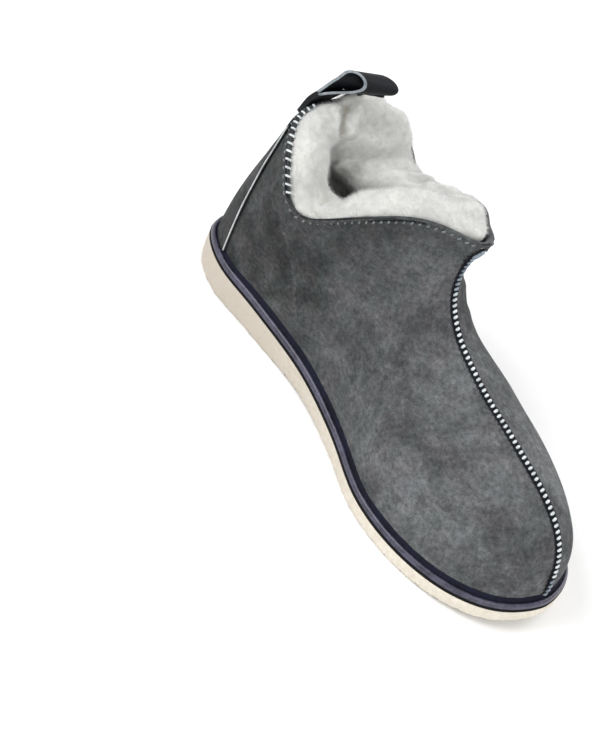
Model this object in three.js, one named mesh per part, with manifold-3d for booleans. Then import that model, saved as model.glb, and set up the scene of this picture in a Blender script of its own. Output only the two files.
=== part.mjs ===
// An ankle-high sheepskin slipper for the left foot, standing empty on its sole, in millimetres.
// x runs from the heel to the toe, y to the wearer's left (the lateral side), and z up from the floor.
// The origin is on the floor, under the middle of the heel.
import * as THREE from "three";
import Module from "manifold-3d";

const wasm = await Module();
wasm.setup();

// Driving sizes
const SOLE_LENGTH = 290;
const BALL_WIDTH = 107; // of the sole, across the ball of the foot
const HEEL_CENTRE = 41; // from the back of the sole to the middle of the heel's flat
const HEEL_SOLE = 18.7; // thickness of the sole under the heel
const BALL_SOLE = 9; // thickness of the sole under the ball
const TOE_SPRING = 5.2; // the sole's lift at the toe
const HEEL_BEVEL = 2; // the sole's lift at its back edge
const ARCH_LIFT = 1.6;
const WEDGE = { from: 0.06, run: 0.66 }; // where the sole thins, in shares of SOLE_LENGTH
const SPRING_FROM = 0.74; // the toe's lift starts here
const BEVEL_TO = 0.07; // the heel's bevel ends here
const ARCH = { from: 0.27, run: 0.27 }; // where the arch stands off the floor
const SOLE_EDGE_ROUND = 2.6; // how far the sole's lower edge draws in
const GROOVE_WIDTH = 2.6;
const GROOVE_DEPTH = 1.5;
const GROOVE_PITCH = 11;
const WELT_WIDTH = 5; // from the upper's foot to the welt's outer edge
const WELT_HEIGHT = 4.6;
const BACK_RISE = 112; // from the sole to the collar at the back
const PEAK_RISE = 131; // from the sole to the collar's front peak
const PEAK_REACH = 149; // from the back of the sole to the front peak
const BACK_LEAN = 29; // how far the collar's back stands ahead of the sole's
const PEAK_SWAY = 5; // how far the front peak stands to the lateral side
const NOTCH_DEPTH = 44; // depth of the collar's side notch under the line from back to peak
const COLLAR_WIDTH = 84;
const UPPER_WALL = 2.4;
const FLEECE = 13; // depth of the wool inside the wall
const FLEECE_ROLL = 20; // depth of the wool where it rolls over the collar
const LATERAL_ROLL = 6; // how much deeper it is there on the lateral side
const ROLL_RISE = 8;
const LATERAL_RISE = 0.45; // a share of that rise on the lateral side
const PEAK_RISE_SHARE = 0.55; // a share of that rise at the front peak
const LOCK_WIDTH = 15; // of one lock of wool
const LOCK_LENGTH = 11;
const ROOM_SHARE = 0.72; // of the way to the middle of the foot's room, at most
const INSOLE = 7;
const INSOLE_TAPER = 1.8; // how far its top draws in
const STRIP_REACH = 25; // from the back of the sole to the back strip's front edges, at the sole
const STRIP_TOP_REACH = 33; // the same at the collar
const STRIP_WALL = 1.3;
const LOOP_WIDTH = 17;
const LOOP_LEATHER = 1.6;
const LOOP_RISE = 36; // of the pull loop, over the collar's edge
const LOOP_NECK = 5; // where its two legs part
const LOOP_EYE = 11; // widest opening of the pull loop
const LOOP_SEWN = 12; // length of the loop's sewn ends
const LOOP_LEAN = 18.5; // how far the loop's tip leans forward
const LOOP_TWIST = 8; // how much further its lateral edge leans
const LOOP_SWAY = 7; // how far its tip leans to the lateral side
const LOOP_CURL = 1.3; // the power of its rise that it leans by
const GAP = 0.3; // clearance between curved pieces

// The sole's outline: shares of SOLE_LENGTH along, and of BALL_WIDTH to each side
const OUTLINE = [
  { along: 0.018, medial: 0.15, lateral: 0.155 },
  { along: 0.1, medial: 0.262, lateral: 0.29 },
  { along: 0.22, medial: 0.262, lateral: 0.335 },
  { along: 0.38, medial: 0.268, lateral: 0.37 },
  { along: 0.52, medial: 0.35, lateral: 0.46 },
  { along: 0.66, medial: 0.48, lateral: 0.52 },
  { along: 0.79, medial: 0.488, lateral: 0.485 },
  { along: 0.9, medial: 0.405, lateral: 0.37 },
  { along: 0.97, medial: 0.255, lateral: 0.235 },
];
const TOE_MEDIAL = 0.008; // the toe's tip, a share of BALL_WIDTH to the medial side

// The collar's edge from the back to the front peak: along is a share of the way from back to
// peak, out a share of half the COLLAR_WIDTH, and drop a share of NOTCH_DEPTH; the lateral side
// stands further out by flare and drops less by lift
const COLLAR = [
  { along: 0.015, out: 0.44, drop: 0.055, flare: 0.06, lift: 0.02 },
  { along: 0.1, out: 0.74, drop: 0.18, flare: 0.15, lift: 0.12 },
  { along: 0.23, out: 0.95, drop: 0.54, flare: 0.19, lift: 0.08 },
  { along: 0.33, out: 0.95, drop: 0.857, flare: 0.19, lift: 0.05 },
  { along: 0.42, out: 0.91, drop: 0.78, flare: 0.16, lift: 0.03 },
  { along: 0.62, out: 0.76, drop: 0.32, flare: 0.13, lift: -0.025 },
  { along: 0.82, out: 0.5, drop: -0.05, flare: 0.16, lift: -0.12 },
];

// The ridge under the centre seam, from the peak to the toe's front: along is a share of the way
// from the peak to the sole's toe end, up a share of PEAK_RISE over the sole
const CREST = [
  { along: -0.008, up: 0.745 },
  { along: 0.08, up: 0.605 },
  { along: 0.295, up: 0.515 },
  { along: 0.56, up: 0.465 },
  { along: 0.76, up: 0.405 },
  { along: 0.9, up: 0.3 },
  { along: 0.947, up: 0.19 },
  { along: 0.953, up: 0.13 },
];

// How each rib of the upper stands between the sole and its top: at is a share of the way round
// from heel to toe, bulge is in millimetres, lean leaves the sole along the chord and not
// upright, cross arrives at the top level, towards the other side, and reach is a share of
// CROSS_REACH
const RIBS = [
  { at: 0, bulge: 2.5, lean: 0.65, cross: 0, reach: 1 },
  { at: 0.12, bulge: 3.5, lean: 0.4, cross: 0, reach: 1 },
  { at: 0.28, bulge: 5.5, lean: 0.1, cross: 0, reach: 1 },
  { at: 0.4, bulge: 6, lean: 0, cross: 0.55, reach: 0.5 },
  { at: 0.5, bulge: 6, lean: 0, cross: 1, reach: 0.62 },
  { at: 0.64, bulge: 6, lean: 0, cross: 1, reach: 1 },
  { at: 1, bulge: 5, lean: 0, cross: 1, reach: 1 },
];
const PEAK_AT = 0.4; // the rib that ends at the front peak
const LOW_REACH = 0.44;
const CHORD_REACH = 0.34;
const CROSS_REACH = new Map([[1, 0.74], [-1, 0.56]]); // on the lateral and the medial side
const SHORT_RIB = 60; // ribs under this height bulge less

// The raised seam and hem, which is also the ridge down the toe's front: back is measured from
// the edge, raise off the surface
const HEM = [
  { back: 3.2, raise: 0 },
  { back: 2.3, raise: 1.2 },
  { back: 0.9, raise: 1.7 },
  { back: 0, raise: 1.1 },
];
const COLLAR_HEM = 0.5; // the share of that raise on the collar's edge

// The welt's section: out from the upper's foot and up from the sole, as shares of its sizes
const WELT = [
  { out: 0, up: 0 },
  { out: 0.95, up: 0 },
  { out: 1, up: 0.4 },
  { out: 0.84, up: 0.88 },
  { out: 0.58, up: 1 },
  { out: 0.38, up: 0.86 },
  { out: 0.25, up: 0.56 },
  { out: 0.16, up: 0.52 },
];

// The sole's side from top to bottom: draw is how far it stands in, a share of SOLE_EDGE_ROUND
const SOLE_SIDE = [
  { up: 1, draw: 0.12 },
  { up: 0.82, draw: 0 },
  { up: 0.3, draw: 0.1 },
  { up: 0.08, draw: 0.45 },
  { up: 0, draw: 1 },
];

// The wool's roll over the collar, from the wall inwards
const ROLL = [
  { in: 0.06, up: 0.55 },
  { in: 0.28, up: 0.95 },
  { in: 0.55, up: 1 },
  { in: 0.82, up: 0.7 },
];

// Where the wool gets deeper towards the collar, in shares of a rib, and over how many ribs from
// the back or the peak the lateral side's own depth and rise fade in
const ROLL_FROM = 0.35;
const ROLL_RUN = 0.5;
const PEAK_FADE = 2;
const BACK_FADE = 3;
const RISE_FADE = 4;

const COLLAR_RIBS = 16;
const CREST_RIBS = 20;
const ROWS = 8;
const STRIP_RIBS = 6;
const TUFT_SIDES = 6;
const TUFT_RINGS = 4;
const SAMPLES = 240;
const RIB_STEP = 0.25; // how finely a rib is searched for a height
const NORMAL_REACH = 1.5; // how far apart the points are that give a surface's slope
const TINY = 1e-3; // edges shorter than this aren't drawn
const LATERAL = 1;
const MEDIAL = -1;
const SIDES = [LATERAL, MEDIAL];
const UP = new THREE.Vector3(0, 0, 1);

const at = (x, y, z) => new THREE.Vector3(x, y, z);
const mix = (a, b, t) => a + (b - a) * t;
const clamp = (t) => Math.min(1, Math.max(0, t));
const ease = (t) => clamp(t) ** 2 * (3 - 2 * clamp(t));

// A column of a table, read between its rows
function tableAt(rows, key, column, value) {
  const next = rows.findIndex((row) => row[key] >= value);
  if (next < 0) return rows.at(-1)[column];
  if (next === 0) return rows[0][column];
  const [low, high] = [rows[next - 1], rows[next]];
  return mix(low[column], high[column], ease((value - low[key]) / (high[key] - low[key])));
}

// One side of a closed curve through points, from its first point half way round, by length
function halfLoop(points, side) {
  const curve = new THREE.CatmullRomCurve3(points, true, "centripetal");
  const dense = [];
  for (let i = 0; i <= SAMPLES; i++) {
    const t = i / SAMPLES / 2;
    dense.push(curve.getPoint(side === LATERAL ? t : 1 - t));
  }
  return byLength(dense);
}

function byLength(dense) {
  const lengths = [0];
  for (let i = 1; i < dense.length; i++) {
    lengths.push(lengths[i - 1] + dense[i].distanceTo(dense[i - 1]));
  }
  const total = lengths.at(-1);
  const point = (length) => {
    const wanted = Math.min(total, Math.max(0, length));
    const i = Math.max(1, lengths.findIndex((l) => l >= wanted));
    const t = (wanted - lengths[i - 1]) / (lengths[i] - lengths[i - 1]);
    return dense[i - 1].clone().lerp(dense[i], t);
  };
  return { total, point };
}

// The sole's wedge
const soleThickness = (x) =>
  mix(HEEL_SOLE, BALL_SOLE, ease((x / SOLE_LENGTH - WEDGE.from) / WEDGE.run));
const toeLift = (x) =>
  TOE_SPRING * clamp((x / SOLE_LENGTH - SPRING_FROM) / (1 - SPRING_FROM)) ** 2;
const soleTop = (x) => soleThickness(x) + toeLift(x);
function soleBottom(x) {
  const share = x / SOLE_LENGTH;
  const heel = HEEL_BEVEL * clamp(1 - share / BEVEL_TO) ** 2;
  const arch = ARCH_LIFT * Math.sin(Math.PI * clamp((share - ARCH.from) / ARCH.run)) ** 2;
  return toeLift(x) + heel + arch;
}

// The outline of the sole's top, its outward direction, and the upper's foot inside it
const outlinePoints = [
  at(0, 0, 0),
  ...OUTLINE.map((r) => at(r.along * SOLE_LENGTH, r.lateral * BALL_WIDTH, 0)),
  at(SOLE_LENGTH, -TOE_MEDIAL * BALL_WIDTH, 0),
  ...OUTLINE.toReversed().map((r) => at(r.along * SOLE_LENGTH, -r.medial * BALL_WIDTH, 0)),
];
const outlines = new Map(SIDES.map((side) => [side, halfLoop(outlinePoints, side)]));

function outlineAt(side, share) {
  if (share === 0) return { place: at(0, 0, 0), out: at(-1, 0, 0) };
  const { total, point } = outlines.get(side);
  if (share === 1) return { place: point(total), out: at(1, 0, 0) };
  const step = total / SAMPLES;
  const length = share * total;
  const run = point(length + step).sub(point(length - step)).normalize();
  return { place: point(length), out: at(-run.y, run.x, 0).multiplyScalar(side) };
}

// A point inset from the outline, at a height over the sole
function insetAt(side, share, inset, height) {
  const { place, out } = outlineAt(side, share);
  place.addScaledVector(out, -inset);
  place.z = soleTop(place.x) + height;
  return place;
}

// The collar's loop and the crest
const alongCollar = (share) => mix(BACK_LEAN, PEAK_REACH, share);
const collarRise = (share) => {
  const back = soleTop(0) + BACK_RISE;
  const peak = soleTop(PEAK_REACH) + PEAK_RISE;
  return mix(back, peak, clamp(share));
};
const collarPoint = (side) => (row) => {
  const out = row.out + (side === LATERAL ? row.flare : 0);
  const drop = row.drop - (side === LATERAL ? row.lift : 0);
  return at(
    alongCollar(row.along),
    side * out * COLLAR_WIDTH / 2 + PEAK_SWAY * row.along,
    collarRise(row.along) - drop * NOTCH_DEPTH,
  );
};
const peak = at(PEAK_REACH, PEAK_SWAY, collarRise(1));
const collarPoints = [
  at(BACK_LEAN, 0, collarRise(0)),
  ...COLLAR.map(collarPoint(LATERAL)),
  peak,
  ...COLLAR.toReversed().map(collarPoint(MEDIAL)),
];
const collars = new Map(SIDES.map((side) => [side, halfLoop(collarPoints, side)]));

const toeFoot = insetAt(LATERAL, 1, WELT_WIDTH, 0);
const crest = byLength(
  new THREE.CatmullRomCurve3(
    [
      peak,
      ...CREST.map((row) => {
        const x = mix(PEAK_REACH, SOLE_LENGTH, row.along);
        const y = mix(PEAK_SWAY, toeFoot.y, ease(row.along / CREST.at(-1).along));
        return at(x, y, soleTop(x) + row.up * PEAK_RISE);
      }),
    ],
    false,
    "centripetal",
  ).getPoints(SAMPLES),
);

function topAt(side, share) {
  if (share <= PEAK_AT) {
    const loop = collars.get(side);
    return loop.point((share / PEAK_AT) * loop.total);
  }
  return crest.point(((share - PEAK_AT) / (1 - PEAK_AT)) * crest.total);
}

// One rib of the upper's outer surface, from the sole up to the collar or the crest
function ribAt(side, share) {
  const foot = insetAt(side, share, WELT_WIDTH, GAP);
  const top = topAt(side, share);
  const { out } = outlineAt(side, share);
  const height = top.z - foot.z;
  const chord = top.clone().sub(foot);
  const lean = tableAt(RIBS, "at", "lean", share);
  const cross = tableAt(RIBS, "at", "cross", share);
  const bulge = tableAt(RIBS, "at", "bulge", share) * clamp(height / SHORT_RIB);
  const low = UP.clone()
    .multiplyScalar(height)
    .lerp(chord, lean)
    .multiplyScalar(LOW_REACH)
    .addScaledVector(out, bulge)
    .add(foot);
  const reach = CROSS_REACH.get(side) * tableAt(RIBS, "at", "reach", share);
  const across = at(0, (foot.y - top.y) * reach, 0);
  const high = chord.clone().multiplyScalar(-CHORD_REACH).lerp(across, cross).add(top);
  return byLength(new THREE.CubicBezierCurve3(foot, low, high, top).getPoints(SAMPLES));
}

// The shares of the ribs, closer together at the toe's front, where the seam runs down one
const ribShares = [];
const halfOutline = (outlines.get(LATERAL).total + outlines.get(MEDIAL).total) / 2;
for (let i = 0; i <= COLLAR_RIBS; i++) ribShares.push((PEAK_AT * i) / COLLAR_RIBS);
for (let i = 1; i < CREST_RIBS; i++) {
  const t = i / CREST_RIBS;
  ribShares.push(mix(PEAK_AT, 1, t));
}
ribShares.push(...HEM.map((row) => 1 - row.back / halfOutline));
const LAST = ribShares.length - 1;
const isCrest = (i) => i >= COLLAR_RIBS;

// How far the seam or the hem stands out at a length along rib i
function raiseAt(side, i, length) {
  const rib = ribs.get(side)[i];
  const hem = raiseOff(rib.total - length) * (isCrest(i) ? 1 : COLLAR_HEM);
  const foot = clamp((length - WELT_HEIGHT) / (INSOLE - WELT_HEIGHT));
  return Math.max(hem, raiseOff((1 - ribShares[i]) * halfOutline) * foot);
}

function raiseOff(back) {
  const next = HEM.findIndex((row) => row.back <= back + TINY ** 2);
  if (next <= 0) return next === 0 ? HEM[0].raise : HEM.at(-1).raise;
  const [far, near] = [HEM[next - 1], HEM[next]];
  return mix(near.raise, far.raise, (back - near.back) / (far.back - near.back));
}

// The rows of a rib: its foot, the welt's top, the insole's top, then even steps up to the hem
function rowLengths(rib) {
  const foot = rib.point(0).z;
  let rest = 0;
  while (rib.point(rest).z < foot + INSOLE + UPPER_WALL) rest += RIB_STEP;
  const steps = [0, WELT_HEIGHT, rest];
  for (let j = 1; j <= ROWS - 2; j++) {
    steps.push(mix(rest, rib.total - HEM[0].back, j / (ROWS - 2)));
  }
  return steps;
}

const ribs = new Map(
  SIDES.map((side) => [side, ribShares.map((share) => ribAt(side, share))]),
);
const rows = new Map(SIDES.map((side) => [side, ribs.get(side).map(rowLengths)]));
const onRib = (side, i, length) => ribs.get(side)[i].point(length);

// The outward normal of the surface on rib i, at a share of the rib's length
function normalAt(side, i, length) {
  const rib = ribs.get(side)[i];
  const share = Math.min(length, rib.total - (i === LAST ? NORMAL_REACH : 0)) / rib.total;
  const beside = (step) => {
    const j = i + step;
    if (j < 0) return onRib(-side, 1, share * ribs.get(-side)[1].total);
    if (j > LAST) return onRib(-side, LAST - 1, share * ribs.get(-side)[LAST - 1].total);
    return onRib(side, j, share * ribs.get(side)[j].total);
  };
  const run = pastAt(side, i, length + NORMAL_REACH).sub(onRib(side, i, length - NORMAL_REACH));
  const round = beside(1).sub(beside(-1));
  return round.cross(run).multiplyScalar(-side).normalize();
}

// A point on rib i, or past its top on the surface's other side
function pastAt(side, i, length) {
  const { total } = ribs.get(side)[i];
  const past = length - total;
  if (past <= 0) return onRib(side, i, length);
  if (!isCrest(i)) return onRib(side, i, total);
  if (i === LAST) return crest.point(crest.total - past);
  return onRib(-side, i, ribs.get(-side)[i].total - past);
}

// The normal that both sides share on the back seam, the toe's front and the crest
function sharedNormal(side, i, length) {
  const normal = normalAt(side, i, length);
  const atTop = length > ribs.get(side)[i].total - TINY;
  const joined = i === 0 || i === LAST || (isCrest(i) && atTop);
  if (!joined) return normal;
  const there = atTop ? ribs.get(-side)[i].total : length;
  return normal.add(normalAt(-side, i, there)).normalize();
}

// A point off the surface: a positive offset stands out from it
function offsetPoint(side, i, length, offset) {
  const place = onRib(side, i, length);
  return place.addScaledVector(sharedNormal(side, i, length), offset);
}

// The radius of the largest ball inside the upper that touches it at a point: an inward offset
// stays under this, so that it never crosses itself
const samples = SIDES.flatMap((side) =>
  rows.get(side).flatMap((lengths, i) =>
    [...lengths, ribs.get(side)[i].total].map((length) => onRib(side, i, length)),
  ),
);

function roomAt(place, inward) {
  let room = Infinity;
  for (const sample of samples) {
    const away = sample.clone().sub(place);
    const ahead = away.dot(inward);
    if (ahead > GAP) room = Math.min(room, away.lengthSq() / ahead / 2);
  }
  return room;
}

// Triangles of one closed solid, gathered from grids of points
class Skin {
  triangles = [];

  face(a, b, c, flip) {
    if (a.distanceTo(b) < TINY || b.distanceTo(c) < TINY || c.distanceTo(a) < TINY) return;
    this.triangles.push(...(flip ? [a, c, b] : [a, b, c]));
  }

  grid(lines, flip = false) {
    for (let i = 1; i < lines.length; i++) {
      for (let j = 1; j < lines[i].length; j++) {
        const [a, b] = [lines[i - 1][j - 1], lines[i][j - 1]];
        const [c, d] = [lines[i][j], lines[i - 1][j]];
        this.face(a, b, c, flip);
        this.face(a, c, d, flip);
      }
    }
  }

  mesh(name, material) {
    const geometry = new THREE.BufferGeometry().setFromPoints(this.triangles);
    geometry.computeVertexNormals();
    return named(name, geometry, material);
  }
}

function named(name, geometry, material) {
  const mesh = new THREE.Mesh(geometry, material);
  mesh.name = name;
  return mesh;
}

// Between the meshes and the solids that are cut or fused
function solidOf(geometry) {
  const place = geometry.getAttribute("position");
  const index = new Map();
  const vertices = [];
  const triangles = [];
  const count = geometry.index ? geometry.index.count : place.count;
  for (let i = 0; i < count; i++) {
    const k = geometry.index ? geometry.index.getX(i) : i;
    const point = [place.getX(k), place.getY(k), place.getZ(k)];
    const key = point.map((value) => Math.round(value * 1e4)).join();
    if (!index.has(key)) {
      index.set(key, index.size);
      vertices.push(...point);
    }
    triangles.push(index.get(key));
  }
  return new wasm.Manifold(
    new wasm.Mesh({
      numProp: 3,
      vertProperties: new Float32Array(vertices),
      triVerts: new Uint32Array(triangles),
    }),
  );
}

function geometryOf(solid) {
  const { vertProperties, triVerts } = solid.getMesh();
  const geometry = new THREE.BufferGeometry();
  geometry.setAttribute("position", new THREE.BufferAttribute(vertProperties, 3));
  geometry.setIndex(new THREE.BufferAttribute(triVerts, 1));
  return geometry;
}

// Materials
const plain = (color, roughness) =>
  new THREE.MeshStandardMaterial({ color, roughness, metalness: 0 });
const suede = plain(0x4a4c4e, 0.95);
const wool = plain(0xe6e4da, 1);
const bindingLeather = plain(0x22222e, 0.5);
const loopLeather = plain(0x16181c, 0.4);
const crepe = plain(0xe4dbc8, 0.75);

// The upper: one hollow wall, open at the collar and under the foot, with a raised seam and hem
function upper() {
  const skin = new Skin();
  for (const side of SIDES) {
    const flip = side === LATERAL;
    const outer = [];
    const inner = [];
    for (let i = 0; i <= LAST; i++) {
      const rib = ribs.get(side)[i];
      const hem = HEM.slice(1).map((row) => rib.total - row.back);
      const lengths = [...rows.get(side)[i], ...hem];
      outer.push(lengths.map((l) => offsetPoint(side, i, l, raiseAt(side, i, l))));
      inner.push(
        [...rows.get(side)[i], rib.total].map((l) => offsetPoint(side, i, l, -UPPER_WALL)),
      );
    }
    skin.grid(outer, flip);
    skin.grid(inner, !flip);
    skin.grid(outer.map((line, i) => [inner[i][0], line[0]]), flip);
    const rim = outer.map((line, i) => [line.at(-1), inner[i].at(-1)]);
    skin.grid(rim.slice(0, COLLAR_RIBS + 1), flip);
  }
  return skin.mesh("upper", suede);
}

// The depth of the wool off the wall at a length along rib i, less where there is little room
function woolDepth(side, i, length) {
  const up = length / ribs.get(side)[i].total;
  const between = ease((COLLAR_RIBS - i) / PEAK_FADE) * ease(i / BACK_FADE);
  const roll = FLEECE_ROLL + (side === LATERAL ? LATERAL_ROLL * between : 0);
  const depth = mix(FLEECE, roll, isCrest(i) ? 0 : ease((up - ROLL_FROM) / ROLL_RUN));
  const inward = sharedNormal(side, i, length).negate();
  const room = roomAt(onRib(side, i, length), inward);
  return Math.min(depth, ROOM_SHARE * room - UPPER_WALL);
}

// The wool lining: it stands on the insole inside the wall and rolls over the collar
function fleeceBody() {
  const skin = new Skin();
  const wall = UPPER_WALL + GAP;
  const rested = (point) => {
    point.z = Math.max(point.z, soleTop(point.x) + INSOLE + 2 * GAP);
    return point;
  };
  for (const side of SIDES) {
    const flip = side === LATERAL;
    const outer = [];
    const inner = [];
    for (let i = 0; i <= LAST; i++) {
      const rib = ribs.get(side)[i];
      const lengths = [...rows.get(side)[i].slice(2), rib.total];
      const depthAt = (l) => -wall - woolDepth(side, i, l);
      outer.push(lengths.map((l) => rested(offsetPoint(side, i, l, -wall))));
      const deep = lengths.filter((_, j) => j % 2 === 0 || j === lengths.length - 1);
      inner.push(deep.map((l) => rested(offsetPoint(side, i, l, depthAt(l)))));
    }
    skin.grid(outer, flip);
    skin.grid(inner, !flip);
    skin.grid(outer.map((line, i) => [inner[i][0], line[0]]), flip);
    const rim = [];
    for (let i = 0; i <= COLLAR_RIBS; i++) {
      const [a, b] = [outer[i].at(-1), inner[i].at(-1)];
      const aside = mix(1, LATERAL_RISE, side === LATERAL ? ease(i / RISE_FADE) : 0);
      const ahead = ease(1 - (COLLAR_RIBS - i) / RISE_FADE);
      const rise = ROLL_RISE * mix(aside, PEAK_RISE_SHARE, ahead);
      const roll = ROLL.map((row) => a.clone().lerp(b, row.in).addScaledVector(UP, row.up * rise));
      rim.push([a, ...roll, b]);
    }
    skin.grid(rim, flip);
  }
  return skin.mesh("blank", wool);
}

// How much the locks differ: in place along their row, in size, and in lean
const LOCK_STAGGER = 0.22;
const LOCK_VARIETY = 0.16;
const LOCK_LEAN = 1.5;
const LOCK_FORWARD = 4; // how strongly a lock leans into the shoe
const UPRIGHT = 0.8; // and how strongly it stands up

// The locks' rows: in is a share of the wool's depth, down is along the wall from the edge, and
// rise is how far a lock's heart stands over the line it sits on
const LOCK_ROWS = [
  { in: 0.4, down: 0, rise: 3.8, count: 7 },
  { in: 0.8, down: 4, rise: 0.5, count: 6 },
  { in: 0.82, down: 25, rise: 0, count: 4 },
];

// One lock: a blunt tuft that leans off the wool, alternately to either side
function lock(side, row, k) {
  const along = k + 0.5 + LOCK_STAGGER * Math.sin(k * 2.4 + row.down);
  const rib = (along / row.count) * (COLLAR_RIBS - 1);
  const i = Math.floor(rib);
  const total = ribs.get(side)[i].total;
  const share = (total - row.down) / total;
  const wool = woolDepth(side, i, share * total);
  const wall = surfacePoint(side, rib, share, -UPPER_WALL - GAP);
  const deep = surfacePoint(side, rib, share, -UPPER_WALL - GAP - wool);
  const inward = deep.clone().sub(wall).normalize();
  const grow = Math.min(1, wool / FLEECE) * (1 + LOCK_VARIETY * Math.sin(k * 3.1 + side));
  const radius = (LOCK_WIDTH / 2) * grow;
  const heart = wall
    .addScaledVector(inward, Math.max(radius + GAP, row.in * wool))
    .addScaledVector(UP, row.rise);
  const lean = LOCK_LEAN * Math.sin(k * 1.7 + row.down * 0.3 + side);
  const tip = UP.clone()
    .multiplyScalar(row.rise + UPRIGHT)
    .addScaledVector(inward, row.in * LOCK_FORWARD)
    .addScaledVector(at(-inward.y, inward.x, 0), lean)
    .normalize();
  const tuft = new THREE.SphereGeometry(1, TUFT_SIDES, TUFT_RINGS);
  tuft.scale(radius, (LOCK_LENGTH / 2) * grow + 1, radius);
  tuft.applyQuaternion(new THREE.Quaternion().setFromUnitVectors(at(0, 1, 0), tip));
  tuft.translate(heart.x, heart.y, heart.z);
  return solidOf(tuft);
}

// The wool with its locks fused on
function fleeceLining() {
  const pieces = [solidOf(fleeceBody().geometry)];
  for (const side of SIDES) {
    for (const row of LOCK_ROWS) {
      for (let k = 0; k < row.count; k++) pieces.push(lock(side, row, k));
    }
  }
  return named("fleece_lining", geometryOf(wasm.Manifold.union(pieces)), wool);
}

// A slab between two heights over the sole's top, inside the outline
function slabLoop(inset, heightAt) {
  const loop = (side) =>
    ribShares.map((share) => {
      const place = insetAt(side, share, inset, 0);
      place.z = heightAt(place.x);
      return place;
    });
  return { lateral: loop(LATERAL), medial: loop(MEDIAL) };
}

// Rungs from one side of a loop to the other, which cover it
function rungs(loop) {
  return loop.lateral.map((place, i) => [loop.medial[i], place]);
}

function insole() {
  const skin = new Skin();
  const inset = WELT_WIDTH + UPPER_WALL + 2 * GAP;
  const low = slabLoop(inset, (x) => soleTop(x) + GAP);
  const high = slabLoop(inset + INSOLE_TAPER, (x) => soleTop(x) + INSOLE);
  skin.grid(rungs(high), false);
  skin.grid(rungs(low), true);
  skin.grid(low.lateral.map((place, i) => [place, high.lateral[i]]), true);
  skin.grid(low.medial.map((place, i) => [place, high.medial[i]]), false);
  return skin.mesh("insole", wool);
}

// The wedge sole, and the grooves across its tread
function outsole() {
  const skin = new Skin();
  const levels = SOLE_SIDE.map((row) =>
    slabLoop(row.draw * SOLE_EDGE_ROUND, (x) => mix(soleBottom(x), soleTop(x), row.up)),
  );
  const [top, bottom] = [levels[0], levels.at(-1)];
  skin.grid(rungs(top), false);
  skin.grid(rungs(bottom), true);
  skin.grid(top.lateral.map((_, i) => levels.map((level) => level.lateral[i])), false);
  skin.grid(top.medial.map((_, i) => levels.map((level) => level.medial[i])), true);
  let solid = solidOf(skin.mesh("blank", crepe).geometry);
  const first = HEEL_CENTRE - GROOVE_PITCH * Math.floor(HEEL_CENTRE / GROOVE_PITCH - 0.5);
  for (let x = first - GROOVE_PITCH / 2; x < SOLE_LENGTH; x += GROOVE_PITCH) {
    if (x < GROOVE_PITCH) continue;
    const cutter = new THREE.BoxGeometry(GROOVE_WIDTH, BALL_WIDTH * 2, GROOVE_DEPTH * 2);
    cutter.translate(x, 0, soleBottom(x));
    solid = solid.subtract(solidOf(cutter));
  }
  return named("outsole", geometryOf(solid), crepe);
}

// The welt: a leather bead round the foot of the upper
function welt() {
  const skin = new Skin();
  const reach = WELT_WIDTH - 2 * GAP;
  for (const side of SIDES) {
    const lines = ribShares.map((share) =>
      [...WELT, WELT[0]].map((row) =>
        insetAt(
          side,
          share,
          WELT_WIDTH - GAP - row.out * reach,
          GAP + row.up * (WELT_HEIGHT - GAP),
        ),
      ),
    );
    skin.grid(lines, side === LATERAL);
  }
  return skin.mesh("welt", bindingLeather);
}

// The strip over the back: a layer off the upper's own surface, cut off at its front edges
function backStrip() {
  const skin = new Skin();
  const layer = (side, offset) => {
    const lines = [];
    for (let i = 0; i <= STRIP_RIBS; i++) {
      const lengths = rows.get(side)[i].slice(1);
      lengths[0] += GAP;
      lines.push(lengths.map((l) => offsetPoint(side, i, l, offset)));
    }
    return lines;
  };
  for (const side of SIDES) {
    const flip = side === LATERAL;
    const inner = layer(side, GAP);
    const outer = layer(side, GAP + STRIP_WALL);
    skin.grid(outer, flip);
    skin.grid(inner, !flip);
    skin.grid(outer.map((line, i) => [inner[i][0], line[0]]), flip);
    skin.grid(outer.map((line, i) => [line.at(-1), inner[i].at(-1)]), flip);
    skin.grid([outer.at(-1), inner.at(-1)], flip);
  }
  const top = collarRise(0);
  const kept = new THREE.Shape([
    new THREE.Vector2(-WELT_WIDTH, 0),
    new THREE.Vector2(STRIP_REACH, 0),
    new THREE.Vector2(STRIP_TOP_REACH, top),
    new THREE.Vector2(-WELT_WIDTH, top),
  ]);
  const cutter = new THREE.ExtrudeGeometry(kept, { depth: BALL_WIDTH, bevelEnabled: false });
  cutter.rotateX(Math.PI / 2);
  cutter.translate(0, BALL_WIDTH / 2, 0);
  const solid = solidOf(skin.mesh("blank", suede).geometry).intersect(solidOf(cutter));
  return named("back_strip", geometryOf(solid), suede);
}

// A point at a fractional rib number and a share of the rib's length
function surfacePoint(side, rib, share, offset) {
  const i = Math.min(LAST - 1, Math.floor(rib));
  const [a, b] = [i, i + 1].map((k) =>
    offsetPoint(side, k, share * ribs.get(side)[k].total, offset),
  );
  return a.lerp(b, rib - i);
}

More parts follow.
